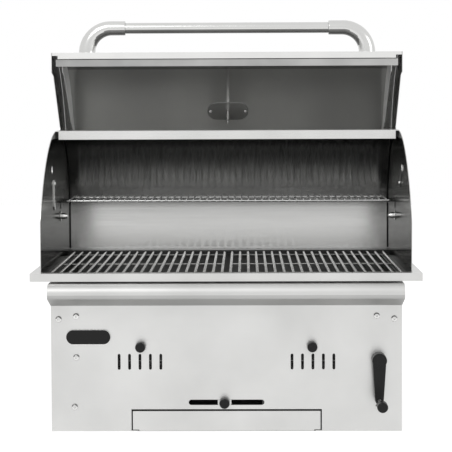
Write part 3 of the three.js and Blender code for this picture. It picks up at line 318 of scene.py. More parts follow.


# Between which heights each painted light or painted shade grows
LINER_FOOT_SHADE = (0.7525, 0.7535)
BACK_FOOT_LIGHT = (0.42, 0.36)
BACK_TOP_SHADE = (0.50, 0.605)
WALL_FOOT_SHADE = (0.52, 0.42)
WALL_TOP_HIGHLIGHT = (0.597, 0.600)
WALL_FOOT_SHINE_SHADE = (0.47, 0.45)

panel_steel = steel("brushed panel steel",
                    grey(0.59), grey(0.66), 0.28, 0.38, BRUSHED_GRAIN, 0.04, 0.5)
nose_steel = steel("satin apron steel", grey(0.56), grey(0.62), 0.44, 0.52, BRUSHED_GRAIN, 0.03)
hood_steel = steel("brushed hood steel",
                   grey(0.54), grey(0.60), 0.24, 0.32, BRUSHED_GRAIN, 0.03, 0.6)
# Painted highlight: a lighter copy of the hood steel for the hood lip's front faces
lit_hood_edge_steel = steel("painted highlight hood edge", grey(0.70), grey(0.78), 0.26, 0.36, BRUSHED_GRAIN, 0.04, 0.5)
# Painted shade: darker copies of the apron steel for the faces below the bulge and underneath
shaded_nose_turn = steel("painted shade apron below its bulge", grey(0.43), grey(0.48), 0.44, 0.52, BRUSHED_GRAIN, 0.03)
nose_shade = steel("shaded apron underside",
                   grey(0.40), grey(0.46), 0.44, 0.52, BRUSHED_GRAIN, 0.03)
tube_steel = steel("satin tube steel", grey(0.63), grey(0.67), 0.18, 0.22, TUBE_GRAIN, 0.004)
tube_shade = steel("shaded tube underside", grey(0.19), grey(0.23), 0.22, 0.30, TUBE_GRAIN, 0.004)
liner_steel = steel("brushed liner steel",
                    grey(0.53), grey(0.59), 0.18, 0.24, ROLLED_GRAIN, 0.02, 0.7)
# Painted shade: the liner turns darker beyond its foot line
paint_light_or_shade_by_height(liner_steel, *LINER_FOOT_SHADE, grey(0.30))
dull_plate_and_stem_shade = steel("dull cover plate and stem shade", grey(0.31), grey(0.37), 0.30, 0.38, ROLLED_GRAIN, 0.02)
foot_steel = steel("dull liner foot", grey(0.30), grey(0.52), 0.30, 0.42, FOOT_GRAIN, 0.06)
# Painted light: the liner's end faces get a pale, barely metal finish so that they read bright
painted_light_end_steel = steel("painted light liner ends", grey(0.88), grey(0.94), 0.40, 0.50, FINE_GRAIN, 0.03)
painted_light_end_steel.node_tree.nodes["Principled BSDF"].inputs["Metallic"].default_value = 0.15
back_steel = steel("brushed back steel",
                   grey(0.50), grey(0.54), 0.16, 0.22, ROLLED_GRAIN, 0.02, 0.6)
# Painted light: the back wall turns pale towards its foot
paint_light_or_shade_by_height(back_steel, *BACK_FOOT_LIGHT, grey(0.95))
# Painted shade: the back and the roof turn dark towards the top
paint_light_or_shade_by_height(back_steel, *BACK_TOP_SHADE, grey(0.12))
roof_lip_steel = steel("brushed roof lip",
                       grey(0.63), grey(0.69), 0.24, 0.32, BRUSHED_GRAIN, 0.03, 0.5)
# Painted shade: the side walls' inner faces are a much darker copy of the hood steel that their
# outer faces get
shaded_wall_steel = steel("polished wall steel, painted shade", grey(0.26), grey(0.30), 0.12, 0.18, WALL_GRAIN, 0.02)
# Painted shade: the walls darken towards their foot
paint_light_or_shade_by_height(shaded_wall_steel, *WALL_FOOT_SHADE, grey(0.17))
# Painted highlight: a pale, barely metal band along the walls' top edge
paint_light_or_shade_by_height(shaded_wall_steel, *WALL_TOP_HIGHLIGHT, grey(0.70))
wall_tree = shaded_wall_steel.node_tree
wall_shader = wall_tree.nodes["Principled BSDF"]
wall_tree.links.new(by_height(wall_tree, 1, 0.15, *WALL_TOP_HIGHLIGHT), wall_shader.inputs["Metallic"])
# Painted shade in the reflections: a lower specular tint towards the walls' foot
wall_foot_reflection_shade = between(wall_tree, by_height(wall_tree, 0, 1, *WALL_FOOT_SHINE_SHADE), grey(1), grey(0.42))
wall_tree.links.new(wall_foot_reflection_shade, wall_shader.inputs["Specular Tint"])
bar_steel = steel("grate bar steel", grey(0.46), grey(0.56), 0.22, 0.36, BAR_GRAIN, 0.06)
# Painted shade: near-black steel for the grate ledge and for the shutter plate behind its slot
painted_shade_sheet_steel = steel("shaded sheet steel", grey(0.05), grey(0.08), 0.30, 0.42, RAIL_GRAIN, 0.03)
# Painted shade: the grate rails are a darker copy of the bar steel
shaded_rail_steel = steel("painted shade grate rail steel", grey(0.32), grey(0.40), 0.30, 0.42, RAIL_GRAIN, 0.06)
plain_zinc = steel("plain sheet zinc", grey(0.46), grey(0.56), 0.34, 0.50, ZINC_GRAIN, 0.05)
screw_zinc = steel("polished screw zinc", grey(0.64), grey(0.74), 0.10, 0.18, ZINC_GRAIN, 0.02)
pivot_zinc = steel("bright pivot zinc", grey(0.84), grey(0.92), 0.16, 0.24, ZINC_GRAIN, 0.02)
screw_shade = steel("painted shade screw head rim", grey(0.16), grey(0.24), 0.16, 0.24, ZINC_GRAIN, 0.02)
# Painted shade: near black, for gaps and corners where shade falls
painted_shade_black = steel("painted shade black", grey(0.03), grey(0.05), 0.45, 0.55, FINE_GRAIN, 0.03)
fire_steel = steel("firebox steel", grey(0.22), grey(0.26), 0.34, 0.46, FIRED_GRAIN, 0.05)
fire_zinc = steel("firebox zinc", grey(0.16), grey(0.22), 0.40, 0.54, ZINC_GRAIN, 0.05)
bright_chrome = steel("bright plating", grey(0.68), grey(0.76), 0.05, 0.10, PLATED_GRAIN, 0.01)
# Partly real dull plating, partly painted light: a pale, barely metal finish so the rack wires read
# bright
pale_lit_wire_plating = steel("pale wire plating, painted light", grey(0.70), grey(0.85), 0.30, 0.42, PLATED_GRAIN, 0.01)
pale_lit_wire_plating.node_tree.nodes["Principled BSDF"].inputs["Metallic"].default_value = 0.2


def moulded(name, colour, roughness):
    """Moulded plastic with a fine even grain."""
    finish, tree, shader = new_finish(name, colour, roughness, 0)
    pores = grain(tree, (1, 1, 1), PORE_SCALE, PORE_DETAIL)
    polish = spread(tree, pores, roughness - PORE_POLISH, roughness + PORE_DULLING)
    tree.links.new(polish, shader.inputs["Roughness"])
    raise_up(tree, shader, pores, PORE_STRENGTH, PORE_DEPTH)
    shader.inputs["Specular IOR Level"].default_value = PLASTIC_SHINE
    return finish


knob_black = moulded("black knob plastic", (0.007, 0.007, 0.007), 0.34)
badge_black = moulded("gloss black badge", (0.005, 0.005, 0.005), 0.16)
dial_white = moulded("printed dial white", (0.80, 0.80, 0.77), 0.48)
print_black = moulded("dial print black", (0.02, 0.02, 0.02), 0.5)
needle_red = moulded("needle red", (0.50, 0.02, 0.012), 0.38)
clear_glass, _, glass_shader = new_finish("gauge glass", (0.96, 0.98, 0.98), 0.02, 0)
glass_shader.inputs["Transmission Weight"].default_value = 1
glass_shader.inputs["IOR"].default_value = 1.45


# Sheet pieces that keep their solid's shape

SHEET_PIECES = (
    ("base", panel_steel, "outer_steel",
     ("front_panel", "front_lip", "left_flange", "right_flange")),
    ("base", nose_steel, "outer_steel", ("bullnose_apron",)),
    ("base", back_steel, "inner_steel", ("roof_and_back",)),
    ("base", painted_shade_sheet_steel, "inner_steel", ("rear_grate_ledge",)),
    ("base", shaded_wall_steel, "inner_steel",
     ("side_wall_left", "side_wall_right", "rack_bracket_left", "rack_bracket_right")),
    ("base", fire_steel, "inner_steel", ("firebox",)),
    ("base", badge_black, "badge_black", ("badge_plate",)),
    ("base", fire_zinc, "zinc_steel",
     ("drawer_rail_left", "drawer_rail_right", "tray_guide_front", "tray_guide_rear",
      "shaft_bearing")),
    ("hood", hood_steel, "outer_steel", ("hood_shell", "hood_cheek_left", "hood_cheek_right")),
    ("hood", liner_steel, "inner_steel", ("hood_liner",)),
    ("hood", dull_plate_and_stem_shade, "chrome", ("inner_cover_plate",)),
    ("left_vent", fire_zinc, "zinc_steel", ("left_vent_damper",)),
    ("right_vent", fire_zinc, "zinc_steel", ("right_vent_damper",)),
    ("shutter", painted_shade_sheet_steel, "outer_steel", ("air_shutter",)),
    ("drawer", fire_zinc, "zinc_steel", ("ash_drawer",)),
    ("drawer", panel_steel, "outer_steel", ("ash_drawer_front",)),
    ("tray", fire_steel, "inner_steel", ("charcoal_tray",)),
    ("tray", fire_zinc, "zinc_steel", ("lift_rack",)),
    ("crank", plain_zinc, "zinc_steel", ("crank_shaft",)),
    ("crank", knob_black, "black_plastic", ("crank_arm",)),
    ("left_cover", screw_zinc, "zinc_steel", ("left_spit_cover",)),
    ("right_cover", screw_zinc, "zinc_steel", ("right_spit_cover",)),
)
PLAIN_EDGE = 0.3
EDGES = {"crank_arm": 1.8, "ash_drawer_front": 0.6, "badge_plate": 0.5, "air_shutter": 0.2,
         "rear_grate_ledge": 0.15, "roof_and_back": 0, "side_wall_left": 0, "side_wall_right": 0}

sheets = {}
for body, finish, slot, names in SHEET_PIECES:
    for node in names:
        sheets[node] = fit(from_solid(node, EDGES.get(node, PLAIN_EDGE)), body, finish, slot, node)

# Where a second finish starts: places in millimetres, ways as shares of a straight look
LINER_FOOT_Z, LINER_END_X = 750, 361.5
BACK_OUTSIDE_Y, ROOF_LIP_Y = 280.5, -8
WALL_OUTSIDE_X = 379
DRAWER_HOLE_HALF, DRAWER_HOLE_FOOT, DRAWER_HOLE_TOP = 220, 0.2, 60
SHUTTER_TAB_Y = -249
SQUARE_ON, NEARLY_SQUARE_ON, HALF_TURNED = 0.95, 0.9, 0.5
FACING_UP, TURNING_DOWN, FACING_DOWN = 0.2, -0.12, -0.3

refinish(sheets["hood_liner"], foot_steel,
         lambda place, way: place.z > LINER_FOOT_Z and way.y < -NEARLY_SQUARE_ON)
# Painted light on the liner's end faces
refinish(sheets["hood_liner"], painted_light_end_steel,
         lambda place, way: abs(way.x) > NEARLY_SQUARE_ON and abs(place.x) < LINER_END_X)
refinish(sheets["roof_and_back"], panel_steel,
         lambda place, way: way.z > FACING_UP or place.y > BACK_OUTSIDE_Y)
refinish(sheets["roof_and_back"], roof_lip_steel, lambda place, way: place.y < ROOF_LIP_Y)
# Outer faces get the hood steel; inner faces keep the darker copy, which is painted shade
for side, word in LEFT_AND_RIGHT:
    refinish(sheets[f"side_wall_{word}"], hood_steel,
             lambda place, way: abs(place.x) > WALL_OUTSIDE_X)
# Painted highlight on the hood lip's front faces
refinish(sheets["hood_shell"], lit_hood_edge_steel, lambda place, way: way.y < -HALF_TURNED)
# Painted shade on the apron's downward-turned faces
refinish(sheets["bullnose_apron"], shaded_nose_turn,
         lambda place, way: -HALF_TURNED <= way.z < TURNING_DOWN)
refinish(sheets["bullnose_apron"], nose_shade, lambda place, way: way.z < -HALF_TURNED)
# Painted shade in the gaps round the drawer front and on the edges of its opening
refinish(sheets["ash_drawer_front"], painted_shade_black, lambda place, way: way.y > -SQUARE_ON)
refinish(sheets["front_panel"], painted_shade_black,
         lambda place, way: (abs(way.y) < SQUARE_ON and abs(place.x) < DRAWER_HOLE_HALF
                             and DRAWER_HOLE_FOOT < place.z < DRAWER_HOLE_TOP))
# Only the shutter's tab shows the panel steel; the rest of the plate is painted shade
refinish(sheets["air_shutter"], panel_steel,
         lambda place, way: place.y < SHUTTER_TAB_Y and way.y < -NEARLY_SQUARE_ON)


# Turned pieces: each row of rings holds a radius and a height, in millimetres

SHEET_GAP = 0.3
SCREW_HEAD, SHANK_END, SHANK_SHARE = (6.5, 3.6), -7, 0.46
HEAD_SHARES = [(1, 0), (1, 0.35), (0.9, 0.68), (0.66, 0.92), (0.3, 1), (0.24, 0.72), (0.04, 0.7)]
SCREWS = ((-345, 233), (-309, 239), (-309, 154), (-313, 51), (345, 233), (309, 239), (313, 51))
SCREW_RIM_WAY, SCREW_TOP_WAY = -0.93, 0.1
PIVOT_RINGS = [
    (1.2, 362.2), (4.1, 363.2), (6.0, 365.6), (6.8, 369.5), (6.8, 376.7), (11, 376.7), (11, 378.2),
    (4, 378.2), (4, 380.3), (9, 380.3), (9, 384.2), (4, 384.2), (4, 386.3), (7, 386.3),
    (7, 390.2), (6.4, 390.8), (3.4, 390.8), (3, 388.6), (0.4, 388.6)]
KNOB_RINGS = [
    (3, 0), (8.6, 0), (9.6, 0.6), (10.3, 2.0), (10.5, 4), (10.5, 13.5), (10.2, 15.6),
    (9.3, 17.2), (8, 17.9), (6.6, 18), (5.2, 17.5), (2.5, 17), (0.3, 16.9)]
KNOB_STANDOFF = 3
VENT_X, VENT_Z, VENT_STEM = 176.3, 176.4, -4.5
SHUTTER_X, SHUTTER_Z, SHUTTER_STEM = -4, 60.2, -2.7
COLLAR_RINGS = [(4.4, -10), (8, -10), (8, 0), (14, 0), (14, 1.4), (12.8, 2.7), (4.4, 2.7)]
PIN_RADIUS, PIN_ROOT, PIN_END = 3, -265.2, -347.5
GRIP_FOOT = -329.5
GRIP_RINGS = [
    (3.3, 0), (8.6, 0), (10.2, 1), (11, 4), (10.6, 8), (10.2, 12), (10.4, 17), (11, 21), (10.4, 24),
    (8.6, 25.6), (6, 26), (0.3, 26)]
HUB_FACE = -278.0
HUB_CAP_RINGS = [(10, -1), (10, 0.6), (9, 1.4), (4, 1.8), (0.3, 1.9)]


def cap_screw(name, place, way, head, edge=0.3):
    """A domed screw head with a shallow socket, on a short shank."""
    radius, height = head
    shank = radius * SHANK_SHARE
    rings = [(shank, SHANK_END), (shank, 0)]
    rings += [(radius * wide, height * high) for wide, high in HEAD_SHARES]
    return turned(name, place, way, rings, sides=32, width=edge)


for number, (x, z) in enumerate(SCREWS, 1):
    seat = (x, PANEL_FACE - SHEET_GAP, z)
    head = cap_screw(f"panel_screw_head_{number}", seat, FORWARD, SCREW_HEAD)
    fit(head, "base", screw_zinc, "zinc_steel", f"panel_screw_{number}")
    # Painted shade: the dark rim of each domed head
    refinish(head, screw_shade, lambda place, way: way.y > SCREW_RIM_WAY and way.z > SCREW_TOP_WAY)

for side, word in LEFT_AND_RIGHT:
    nut = turned(f"{word}_pivot_bolt", (0, PIVOT_Y, PIVOT_Z), (side, 0, 0), PIVOT_RINGS,
                 sides=36, width=0.2)
    fit(nut, "base", pivot_zinc, "zinc_steel", f"hood_pivot_{word}")


def pull_knob(name, x, z, stem):
    """A round knob with a soft front rim and a shallow dish, on a stem."""
    rings = [(KNOB_RINGS[0][0], stem), *KNOB_RINGS]
    return turned(name, (x, PANEL_FACE - KNOB_STANDOFF, z), FORWARD, rings, sides=56, width=0.25)


for side, word in LEFT_AND_RIGHT:
    pull = pull_knob(f"{word}_vent_pull", side * VENT_X, VENT_Z, VENT_STEM)
    fit(pull, f"{word}_vent", knob_black, "black_plastic", f"{word}_vent_knob")
pull = pull_knob("shutter_pull", SHUTTER_X, SHUTTER_Z, SHUTTER_STEM)
fit(pull, "shutter", knob_black, "black_plastic", "air_shutter_knob")

bush = turned("crank_collar", (CRANK_X, PANEL_FACE - SHEET_GAP, CRANK_Z), FORWARD, COLLAR_RINGS,
              sides=56, width=0.25)
fit(bush, "base", bright_chrome, "chrome", "crank_bush")
spindle = round_bar("crank_pin", (CRANK_X, PIN_ROOT, CRANK_TIP_Z), (CRANK_X, PIN_END, CRANK_TIP_Z),
                    PIN_RADIUS, sides=28)
fit(spindle, "crank", plain_zinc, "zinc_steel", "crank_spindle")
grip = turned("crank_grip_knob", (CRANK_X, GRIP_FOOT, CRANK_TIP_Z), FORWARD, GRIP_RINGS,
              sides=56, width=0.3)
fit(grip, "crank_grip", knob_black, "black_plastic", "crank_knob")
hub_cap = turned("crank_hub_cap", (CRANK_X, HUB_FACE, CRANK_Z), FORWARD, HUB_CAP_RINGS,
                 sides=48, width=0.15)
fit(hub_cap, "crank", knob_black, "black_plastic")


# Painted shade where the side walls meet the back: a dark bead up round its bend and down

SHADE_BEAD_X, SHADE_BEAD_BEND, SHADE_BEAD_THICKNESS, SHADE_BEAD_DROP = 377.7, 191.6, 1.4, 90


def corner_shade_bead(side, word):
    """A dark bead of painted shade along a quarter turn and straight down from its rear end."""
    put_down()
    bpy.ops.mesh.primitive_torus_add(major_segments=144, minor_segments=10,
                                     major_radius=SHADE_BEAD_BEND * MM, minor_radius=SHADE_BEAD_THICKNESS * MM,
                                     rotation=(0, math.pi / 2, 0))
    shade_bead = bpy.context.object
    shade_bead.name = f"{word}_corner_shade_bead"
    settle(shade_bead)
    bpy.ops.object.mode_set(mode="EDIT")
    for away in ((0, 1, 0), (0, 0, 1)):
        bpy.ops.mesh.select_all(action="SELECT")
        bpy.ops.mesh.bisect(plane_co=(0, 0, 0), plane_no=away, clear_inner=True)
    bpy.ops.mesh.extrude_region_move(TRANSFORM_OT_translate={"value": (0, 0, -SHADE_BEAD_DROP * MM)})
    bpy.ops.object.mode_set(mode="OBJECT")
    shade_bead.location = Vector((side * SHADE_BEAD_X, PIVOT_Y, PIVOT_Z)) * MM
    settle(shade_bead)
    ease_edges(shade_bead, 0)
    return shade_bead


for side, word in LEFT_AND_RIGHT:
    fit(corner_shade_bead(side, word), "base", painted_shade_black, "inner_steel")


# Badge rim: a thin bright border round the bare black plate

BADGE_RIM_PLACE = (-284, -251.9, 196)
BADGE_RIM_BEND, BADGE_RIM_THICKNESS, BADGE_RIM_STRAIGHT = 15.3, 0.55, 30.7

put_down()
bpy.ops.mesh.primitive_torus_add(major_segments=96, minor_segments=12, rotation=(math.pi / 2, 0, 0),
                                 major_radius=BADGE_RIM_BEND * MM,
                                 minor_radius=BADGE_RIM_THICKNESS * MM)
badge_rim = bpy.context.object
badge_rim.name = "badge_rim"
settle(badge_rim)
bpy.ops.object.mode_set(mode="EDIT")
bpy.ops.mesh.select_all(action="SELECT")
bpy.ops.mesh.bisect(plane_co=(0, 0, 0), plane_no=(1, 0, 0), clear_inner=True)
bpy.ops.mesh.extrude_region_move(TRANSFORM_OT_translate={"value": (-BADGE_RIM_STRAIGHT * MM, 0, 0)})
bpy.ops.mesh.select_all(action="SELECT")
bpy.ops.transform.translate(value=(BADGE_RIM_STRAIGHT * MM, 0, 0))
bpy.ops.object.mode_set(mode="OBJECT")
badge_rim.modifiers.new("other half", "MIRROR")
bpy.ops.object.modifier_apply(modifier="other half")
badge_rim.location = Vector(BADGE_RIM_PLACE) * MM
settle(badge_rim)
ease_edges(badge_rim, 0)
fit(badge_rim, "base", bright_chrome, "badge_black")


# Hood handle

TUBE_HALF, TUBE_RADIUS = 225.7, 12
SOCKET_X, SOCKET_RIM = 226, 15
SOCKET_STRAIGHTS = ((1, 15.75), (30.5, 15.9))
BEND_RADIUS, BEND_STEPS, BEND_GROWTH = 54.5, 20, 2.6
FOOT_LENGTH, FOOT_RADIUS = 0.6, 19.5
ELBOW_SHADE_Z = 795


def elbow(side, word):
    """A bent socket: a ring pulled along a straight, round a quarter turn and down to the hood."""
    put_down()
    bpy.ops.mesh.primitive_circle_add(vertices=48, radius=SOCKET_RIM * MM, fill_type="NGON",
                                      location=Vector((SOCKET_X, HANDLE_Y, HANDLE_Z)) * MM,
                                      rotation=(0, math.pi / 2, 0))
    piece = bpy.context.object
    piece.name = f"{word}_handle_elbow"
    settle(piece)
    bpy.ops.object.mode_set(mode="EDIT")
    bpy.ops.mesh.select_all(action="SELECT")
    centre = Vector((SOCKET_X, HANDLE_Y, HANDLE_Z)) * MM
    width, heading = SOCKET_RIM, 0

    def pull(length, turn, wide):
        """Pulls the ring on, turns it by an angle and brings it to a radius."""
        nonlocal centre, width, heading
        way = heading + turn / 2
        move = Vector((math.cos(way), 0, -math.sin(way))) * length * MM
        bpy.ops.mesh.extrude_region_move(TRANSFORM_OT_translate={"value": move})
        centre = centre + move
        heading += turn
        if turn:
            bpy.ops.transform.rotate(value=-turn, orient_axis="Y", center_override=centre)
        if wide != width:
            growth = wide / width
            bpy.ops.transform.resize(value=(growth, growth, growth), center_override=centre)
        width = wide

    for length, wide in SOCKET_STRAIGHTS:
        pull(length, 0, wide)
    bend_start = width
    chord = 2 * BEND_RADIUS * math.sin(math.pi / 4 / BEND_STEPS)
    for step in range(BEND_STEPS):
        pull(chord, math.pi / 2 / BEND_STEPS, bend_start + BEND_GROWTH * (step + 1) / BEND_STEPS)
    pull(FOOT_LENGTH, 0, FOOT_RADIUS)
    bpy.ops.mesh.select_all(action="SELECT")
    bpy.ops.mesh.normals_make_consistent(inside=False)
    bpy.ops.object.mode_set(mode="OBJECT")
    if side < 0:
        piece.scale.x = -1
        settle(piece)
        bpy.ops.object.mode_set(mode="EDIT")
        bpy.ops.mesh.select_all(action="SELECT")
        bpy.ops.mesh.normals_make_consistent(inside=False)
        bpy.ops.object.mode_set(mode="OBJECT")
    ease_edges(piece, 0.5)
    return piece


for side, word in LEFT_AND_RIGHT:
    bend = fit(elbow(side, word), "hood", tube_steel, "outer_steel", f"handle_elbow_{word}")
    refinish(bend, tube_shade, lambda place, way: way.z < FACING_DOWN and place.z > ELBOW_SHADE_Z)
tube = round_bar("handle_grip_tube", (-TUBE_HALF, HANDLE_Y, HANDLE_Z),
                 (TUBE_HALF, HANDLE_Y, HANDLE_Z), TUBE_RADIUS, sides=64, width=0.3)
fit(tube, "hood", tube_steel, "outer_steel", "handle_tube")
refinish(tube, tube_shade, lambda place, way: way.z < FACING_DOWN)


# Thermometer on the hood, drawn with the hood open

GAUGE_SLOPE = math.radians(55)
GAUGE_WAY = (0, math.sin(GAUGE_SLOPE), math.cos(GAUGE_SLOPE))
GAUGE_FOOT = (0, 225, 672)
CASE_RINGS = [
    (0.6, -72), (2.75, -70), (2.75, -60), (2.75, -20), (8, -20), (8, 0.3), (36.6, 0.3), (37.6, 0.9),
    (38, 2.2), (38, 9.4), (37.5, 11.6), (36.4, 12.7), (35, 13), (33.8, 12.6), (33.2, 11.8),
    (33, 11), (35, 11), (35, 3), (0.4, 3)]
FACE_RINGS = [(34.7, 3.3), (34.7, 4.3), (0.3, 4.3)]
WINDOW_RINGS = [(34.7, 9.2), (34.7, 10.7), (0.3, 10.7)]
STEM_SHADE_Z = 640
PLATE_SCREW_HEAD, PLATE_SCREW_DEPTH, PLATE_SCREW_X = (3.4, 2.0), -26.6, 40.5
FIRST_MARK, LAST_MARK, MARK_COUNT, MARKS_PER_NUMBER = -135, 135, 25, 4
LOWEST_NUMBER, NUMBER_STEP = 100, 25
LONG_MARK, SHORT_MARK = (4.6, 0.7), (2.6, 0.4)
MARK_RIM, MARK_THICKNESS = 29.5, 0.12
NUMBER_RIM, NUMBER_SIZE, NUMBER_THICKNESS = 20.5, 5.2, 0.06
PRINT_HEIGHT, HUB_HEIGHT, BLADE_HEIGHT = 4.4, 4.6, 5.0
POINTER_HUB_RINGS = [(3.5, 0), (3.5, 1.7), (2.9, 2.2), (0.3, 2.3)]
BLADE_LENGTH, BLADE_RADIUS = 25, 0.55


def on_gauge(height, right=0, up=0):
    """A place over the dial: up is toward the hood's closed top."""
    rise = (0, math.cos(GAUGE_SLOPE), -math.sin(GAUGE_SLOPE))
    return tuple(GAUGE_FOOT[i] + GAUGE_WAY[i] * height + rise[i] * up + (right if i == 0 else 0)
                 for i in range(3))


case = turned("gauge_case", GAUGE_FOOT, GAUGE_WAY, CASE_RINGS, sides=72, width=0.15)
fit(case, "hood", bright_chrome, "chrome", "thermometer_case")
# Painted shade: the stem below this height gets the darker plate finish
refinish(case, dull_plate_and_stem_shade, lambda place, way: place.z < STEM_SHADE_Z)
face = turned("gauge_face", GAUGE_FOOT, GAUGE_WAY, FACE_RINGS, sides=72, width=0.1)
fit(face, "hood", dial_white, "dial_white", "thermometer_dial")
glass = turned("gauge_window", GAUGE_FOOT, GAUGE_WAY, WINDOW_RINGS, sides=72, width=0.1)
fit(glass, "hood", clear_glass, "gauge_glass", "thermometer_glass")

inward = [-part for part in GAUGE_WAY]
for side, word in LEFT_AND_RIGHT:
    foot = on_gauge(PLATE_SCREW_DEPTH, side * PLATE_SCREW_X)
    plate_screw = cap_screw(f"{word}_plate_screw", foot, inward, PLATE_SCREW_HEAD, 0.15)
    fit(plate_screw, "hood", bright_chrome, "chrome")


def dial_tick(angle, length, width):
    """A printed line on the dial, by the clock angle from straight up."""
    put_down()
    bpy.ops.mesh.primitive_cube_add(size=1)
    tick = bpy.context.object
    tick.scale = Vector((width, length, MARK_THICKNESS)) * MM
    settle(tick)
    tick.location = Vector((0, MARK_RIM - length / 2, 0)) * MM
    settle(tick)
    tick.rotation_euler.z = -angle
    settle(tick)
    return tick


def dial_number(text, angle):
    """A printed number on the dial, by the clock angle from straight up."""
    put_down()
    bpy.ops.object.text_add()
    number = bpy.context.object
    number.data.body = text
    number.data.align_x = "CENTER"
    number.data.align_y = "CENTER"
    number.data.size = NUMBER_SIZE * MM
    number.data.extrude = NUMBER_THICKNESS * MM
    number.location = Vector((math.sin(angle) * NUMBER_RIM, math.cos(angle) * NUMBER_RIM, 0)) * MM
    pick_up(number)
    bpy.ops.object.convert(target="MESH")
    settle(bpy.context.object)
    return bpy.context.object


print_marks = []
mark_step = (LAST_MARK - FIRST_MARK) / (MARK_COUNT - 1)
for mark in range(MARK_COUNT):
    turn = math.radians(FIRST_MARK + mark * mark_step)
    numbered = mark % MARKS_PER_NUMBER == 0
    print_marks.append(dial_tick(turn, *(LONG_MARK if numbered else SHORT_MARK)))
    if numbered:
        print_marks.append(dial_number(str(LOWEST_NUMBER + mark * NUMBER_STEP), turn))
dial_print = join_up("gauge_print", print_marks)
dial_print.rotation_euler.x = GAUGE_SLOPE - math.pi
dial_print.location = Vector(on_gauge(PRINT_HEIGHT)) * MM
settle(dial_print)
fit(dial_print, "hood", print_black, "dial_white")

pointer_hub = turned("gauge_pointer_hub", on_gauge(HUB_HEIGHT), GAUGE_WAY, POINTER_HUB_RINGS,
                     sides=32, width=0.15)
pointer_way = Vector(on_gauge(0, -1, -1)) - Vector(on_gauge(0))
pointer_foot = on_gauge(BLADE_HEIGHT)
pointer_tip = Vector(pointer_foot) + pointer_way.normalized() * BLADE_LENGTH
pointer = round_bar("gauge_pointer_blade", pointer_foot, pointer_tip, BLADE_RADIUS,
                    sides=12, width=0.1)
pointer = join_up("gauge_pointer", [pointer_hub, pointer])
fit(pointer, "needle", needle_red, "needle_red", "thermometer_needle")


# Cooking grates, warming rack and charcoal grate

BAR_COUNT, FIRST_BAR, LAST_BAR = 20, 8.8, 363
BAR_PITCH = (LAST_BAR - FIRST_BAR) / (BAR_COUNT - 1)
BAR_FRONT, BAR_REAR, BAR_Z, BAR_RADIUS = -261.9, 233, 325, 3
RAIL_START, RAIL_END, RAIL_Z, RAIL_RADIUS = 5.8, 362, 322.2, 1.8
RAIL_COUNT, RAIL_Y, RAIL_STEP = 3, -224.95, 210.475
WIRE_COUNT, WIRE_X, WIRE_STEP, WIRE_RADIUS = 47, -358.8, 15.6, 1.5
WIRE_FRONT, WIRE_REAR, WIRE_Z = 97, 239, 458
RACK_RAIL_HALF, RACK_RAIL_Y, RACK_RAIL_Z, RACK_RAIL_RADIUS, RACK_RAIL_STEP = 366, 101, 455, 2.5, 134
EMBER_COUNT, EMBER_HALF, EMBER_STEP, EMBER_REACH, EMBER_Z = 15, 252, 36, 217.5, 75.8
EMBER_RADIUS, EMBER_RAIL_Y, EMBER_RAIL_Z, EMBER_RAIL_STEP = 4, -150, 79.8, 300

for side, word in LEFT_AND_RIGHT:
    bar_x = side * FIRST_BAR
    bar = round_bar("bar", (bar_x, BAR_FRONT, BAR_Z), (bar_x, BAR_REAR, BAR_Z), BAR_RADIUS,
                    sides=20, width=0.8)
    bars = in_a_row(bar, BAR_COUNT, (side * BAR_PITCH, 0, 0))
    bars.name = f"{word}_grate_bars"
    fit(bars, f"{word}_grate", bar_steel, "inner_steel", f"{word}_cooking_grate")
    rail = round_bar("rail", (side * RAIL_START, RAIL_Y, RAIL_Z), (side * RAIL_END, RAIL_Y, RAIL_Z),
                     RAIL_RADIUS, sides=16, width=0.5)
    rails = in_a_row(rail, RAIL_COUNT, (0, RAIL_STEP, 0))
    rails.name = f"{word}_grate_rails"
    fit(rails, f"{word}_grate", shaded_rail_steel, "inner_steel")

wire = round_bar("wire", (WIRE_X, WIRE_FRONT, WIRE_Z), (WIRE_X, WIRE_REAR, WIRE_Z), WIRE_RADIUS,
                 sides=12, width=0.3)
wires = in_a_row(wire, WIRE_COUNT, (WIRE_STEP, 0, 0))
wires.name = "warming_rack_wires"
fit(wires, "rack", pale_lit_wire_plating, "chrome", "warming_rack")
rack_rail = round_bar("rack rail", (-RACK_RAIL_HALF, RACK_RAIL_Y, RACK_RAIL_Z),
                      (RACK_RAIL_HALF, RACK_RAIL_Y, RACK_RAIL_Z), RACK_RAIL_RADIUS,
                      sides=20, width=0.6)
rack_rails = in_a_row(rack_rail, 2, (0, RACK_RAIL_STEP, 0))
rack_rails.name = "warming_rack_rails"
fit(rack_rails, "rack", bright_chrome, "chrome")

ember_bar = round_bar("ember bar", (-EMBER_HALF, -EMBER_REACH, EMBER_Z),
                      (-EMBER_HALF, EMBER_REACH, EMBER_Z), EMBER_RADIUS, sides=16, width=0.8)
ember_bars = in_a_row(ember_bar, EMBER_COUNT, (EMBER_STEP, 0, 0))
ember_rail = round_bar("ember rail", (-EMBER_HALF, EMBER_RAIL_Y, EMBER_RAIL_Z),
                       (EMBER_HALF, EMBER_RAIL_Y, EMBER_RAIL_Z), EMBER_RADIUS, sides=16, width=0.8)
ember_rails = in_a_row(ember_rail, 2, (0, EMBER_RAIL_STEP, 0))
ember_grate = join_up("charcoal_grate_bars", [ember_bars, ember_rails])
fit(ember_grate, "tray", fire_zinc, "zinc_steel", "charcoal_grate")


# Floor, light and camera, in metres

FLOOR_SIZE, FLOOR_DROP = 14, 0.0002
FLOOR_SHOWN, SKY_SHOWN, SKY_LIGHT = 0.8, 1, 0.55
SENSOR_WIDTH, LENS, SHIFT = 36, 125.85, -0.0895
CAMERA_PLACE = (0.0402, -3.4788, 0.6744)
CAMERA_TURN = (87.04, 0.22, 0.692)

put_down()
bpy.ops.mesh.primitive_plane_add(size=FLOOR_SIZE, location=(0, 0, -FLOOR_DROP))
floor = bpy.context.object
floor.name = "pale_floor"
settle(floor)


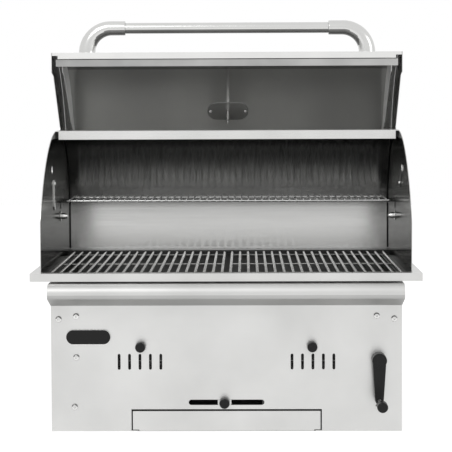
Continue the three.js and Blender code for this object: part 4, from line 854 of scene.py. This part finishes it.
def shown_paths(tree):
    """1 where the camera, a glossy ray or a transmission ray looks, and 0 for the light itself."""
    rays = tree.nodes.new("ShaderNodeLightPath")
    total = rays.outputs["Is Camera Ray"]
    for kind in ("Is Glossy Ray", "Is Transmission Ray"):
        either = tree.nodes.new("ShaderNodeMath")
        either.operation = "MAXIMUM"
        tree.links.new(total, either.inputs[0])
        tree.links.new(rays.outputs[kind], either.inputs[1])
        total = either.outputs[0]
    return total


floor_white, floor_tree, floor_shader = new_finish("pale floor", (0.45, 0.45, 0.45), 0.9, 0)
floor_shader.inputs["Emission Color"].default_value = (1, 1, 1, 1)
floor_tree.links.new(spread(floor_tree, shown_paths(floor_tree), 0, FLOOR_SHOWN, 0, 1),
                     floor_shader.inputs["Emission Strength"])
floor.data.materials.append(floor_white)

world = bpy.data.worlds.new("soft studio")
bpy.context.scene.world = world
world.use_nodes = True
sky = world.node_tree.nodes["Background"]
sky.inputs["Color"].default_value = (1, 1, 1, 1)
sky_strength = spread(world.node_tree, shown_paths(world.node_tree), SKY_LIGHT, SKY_SHOWN, 0, 1)
world.node_tree.links.new(sky_strength, sky.inputs["Strength"])


def soft_lamp(name, place, look_at, size, power):
    """A square lamp turned to a place."""
    lamp_data = bpy.data.lights.new(name, "AREA")
    lamp_data.size = size
    lamp_data.energy = power
    lamp = bpy.data.objects.new(name, lamp_data)
    bpy.context.scene.collection.objects.link(lamp)
    lamp.location = place
    lamp.rotation_euler = (Vector(look_at) - Vector(place)).to_track_quat("-Z", "Y").to_euler()


soft_lamp("high front light", place=(-1.2, -2.6, 2.7), look_at=(0, 0, 0.35), size=1.6, power=26)
soft_lamp("right fill light", place=(2.6, -1.4, 1.6), look_at=(0, 0, 0.4), size=1.4, power=9)

camera_data = bpy.data.cameras.new("camera")
camera_data.sensor_width = SENSOR_WIDTH
camera_data.lens = LENS
camera_data.shift_y = SHIFT
camera = bpy.data.objects.new("camera", camera_data)
bpy.context.scene.collection.objects.link(camera)
camera.location = CAMERA_PLACE
camera.rotation_euler = [math.radians(angle) for angle in CAMERA_TURN]
bpy.context.scene.camera = camera
bpy.context.scene.view_settings.view_transform = "Standard"

put_down()
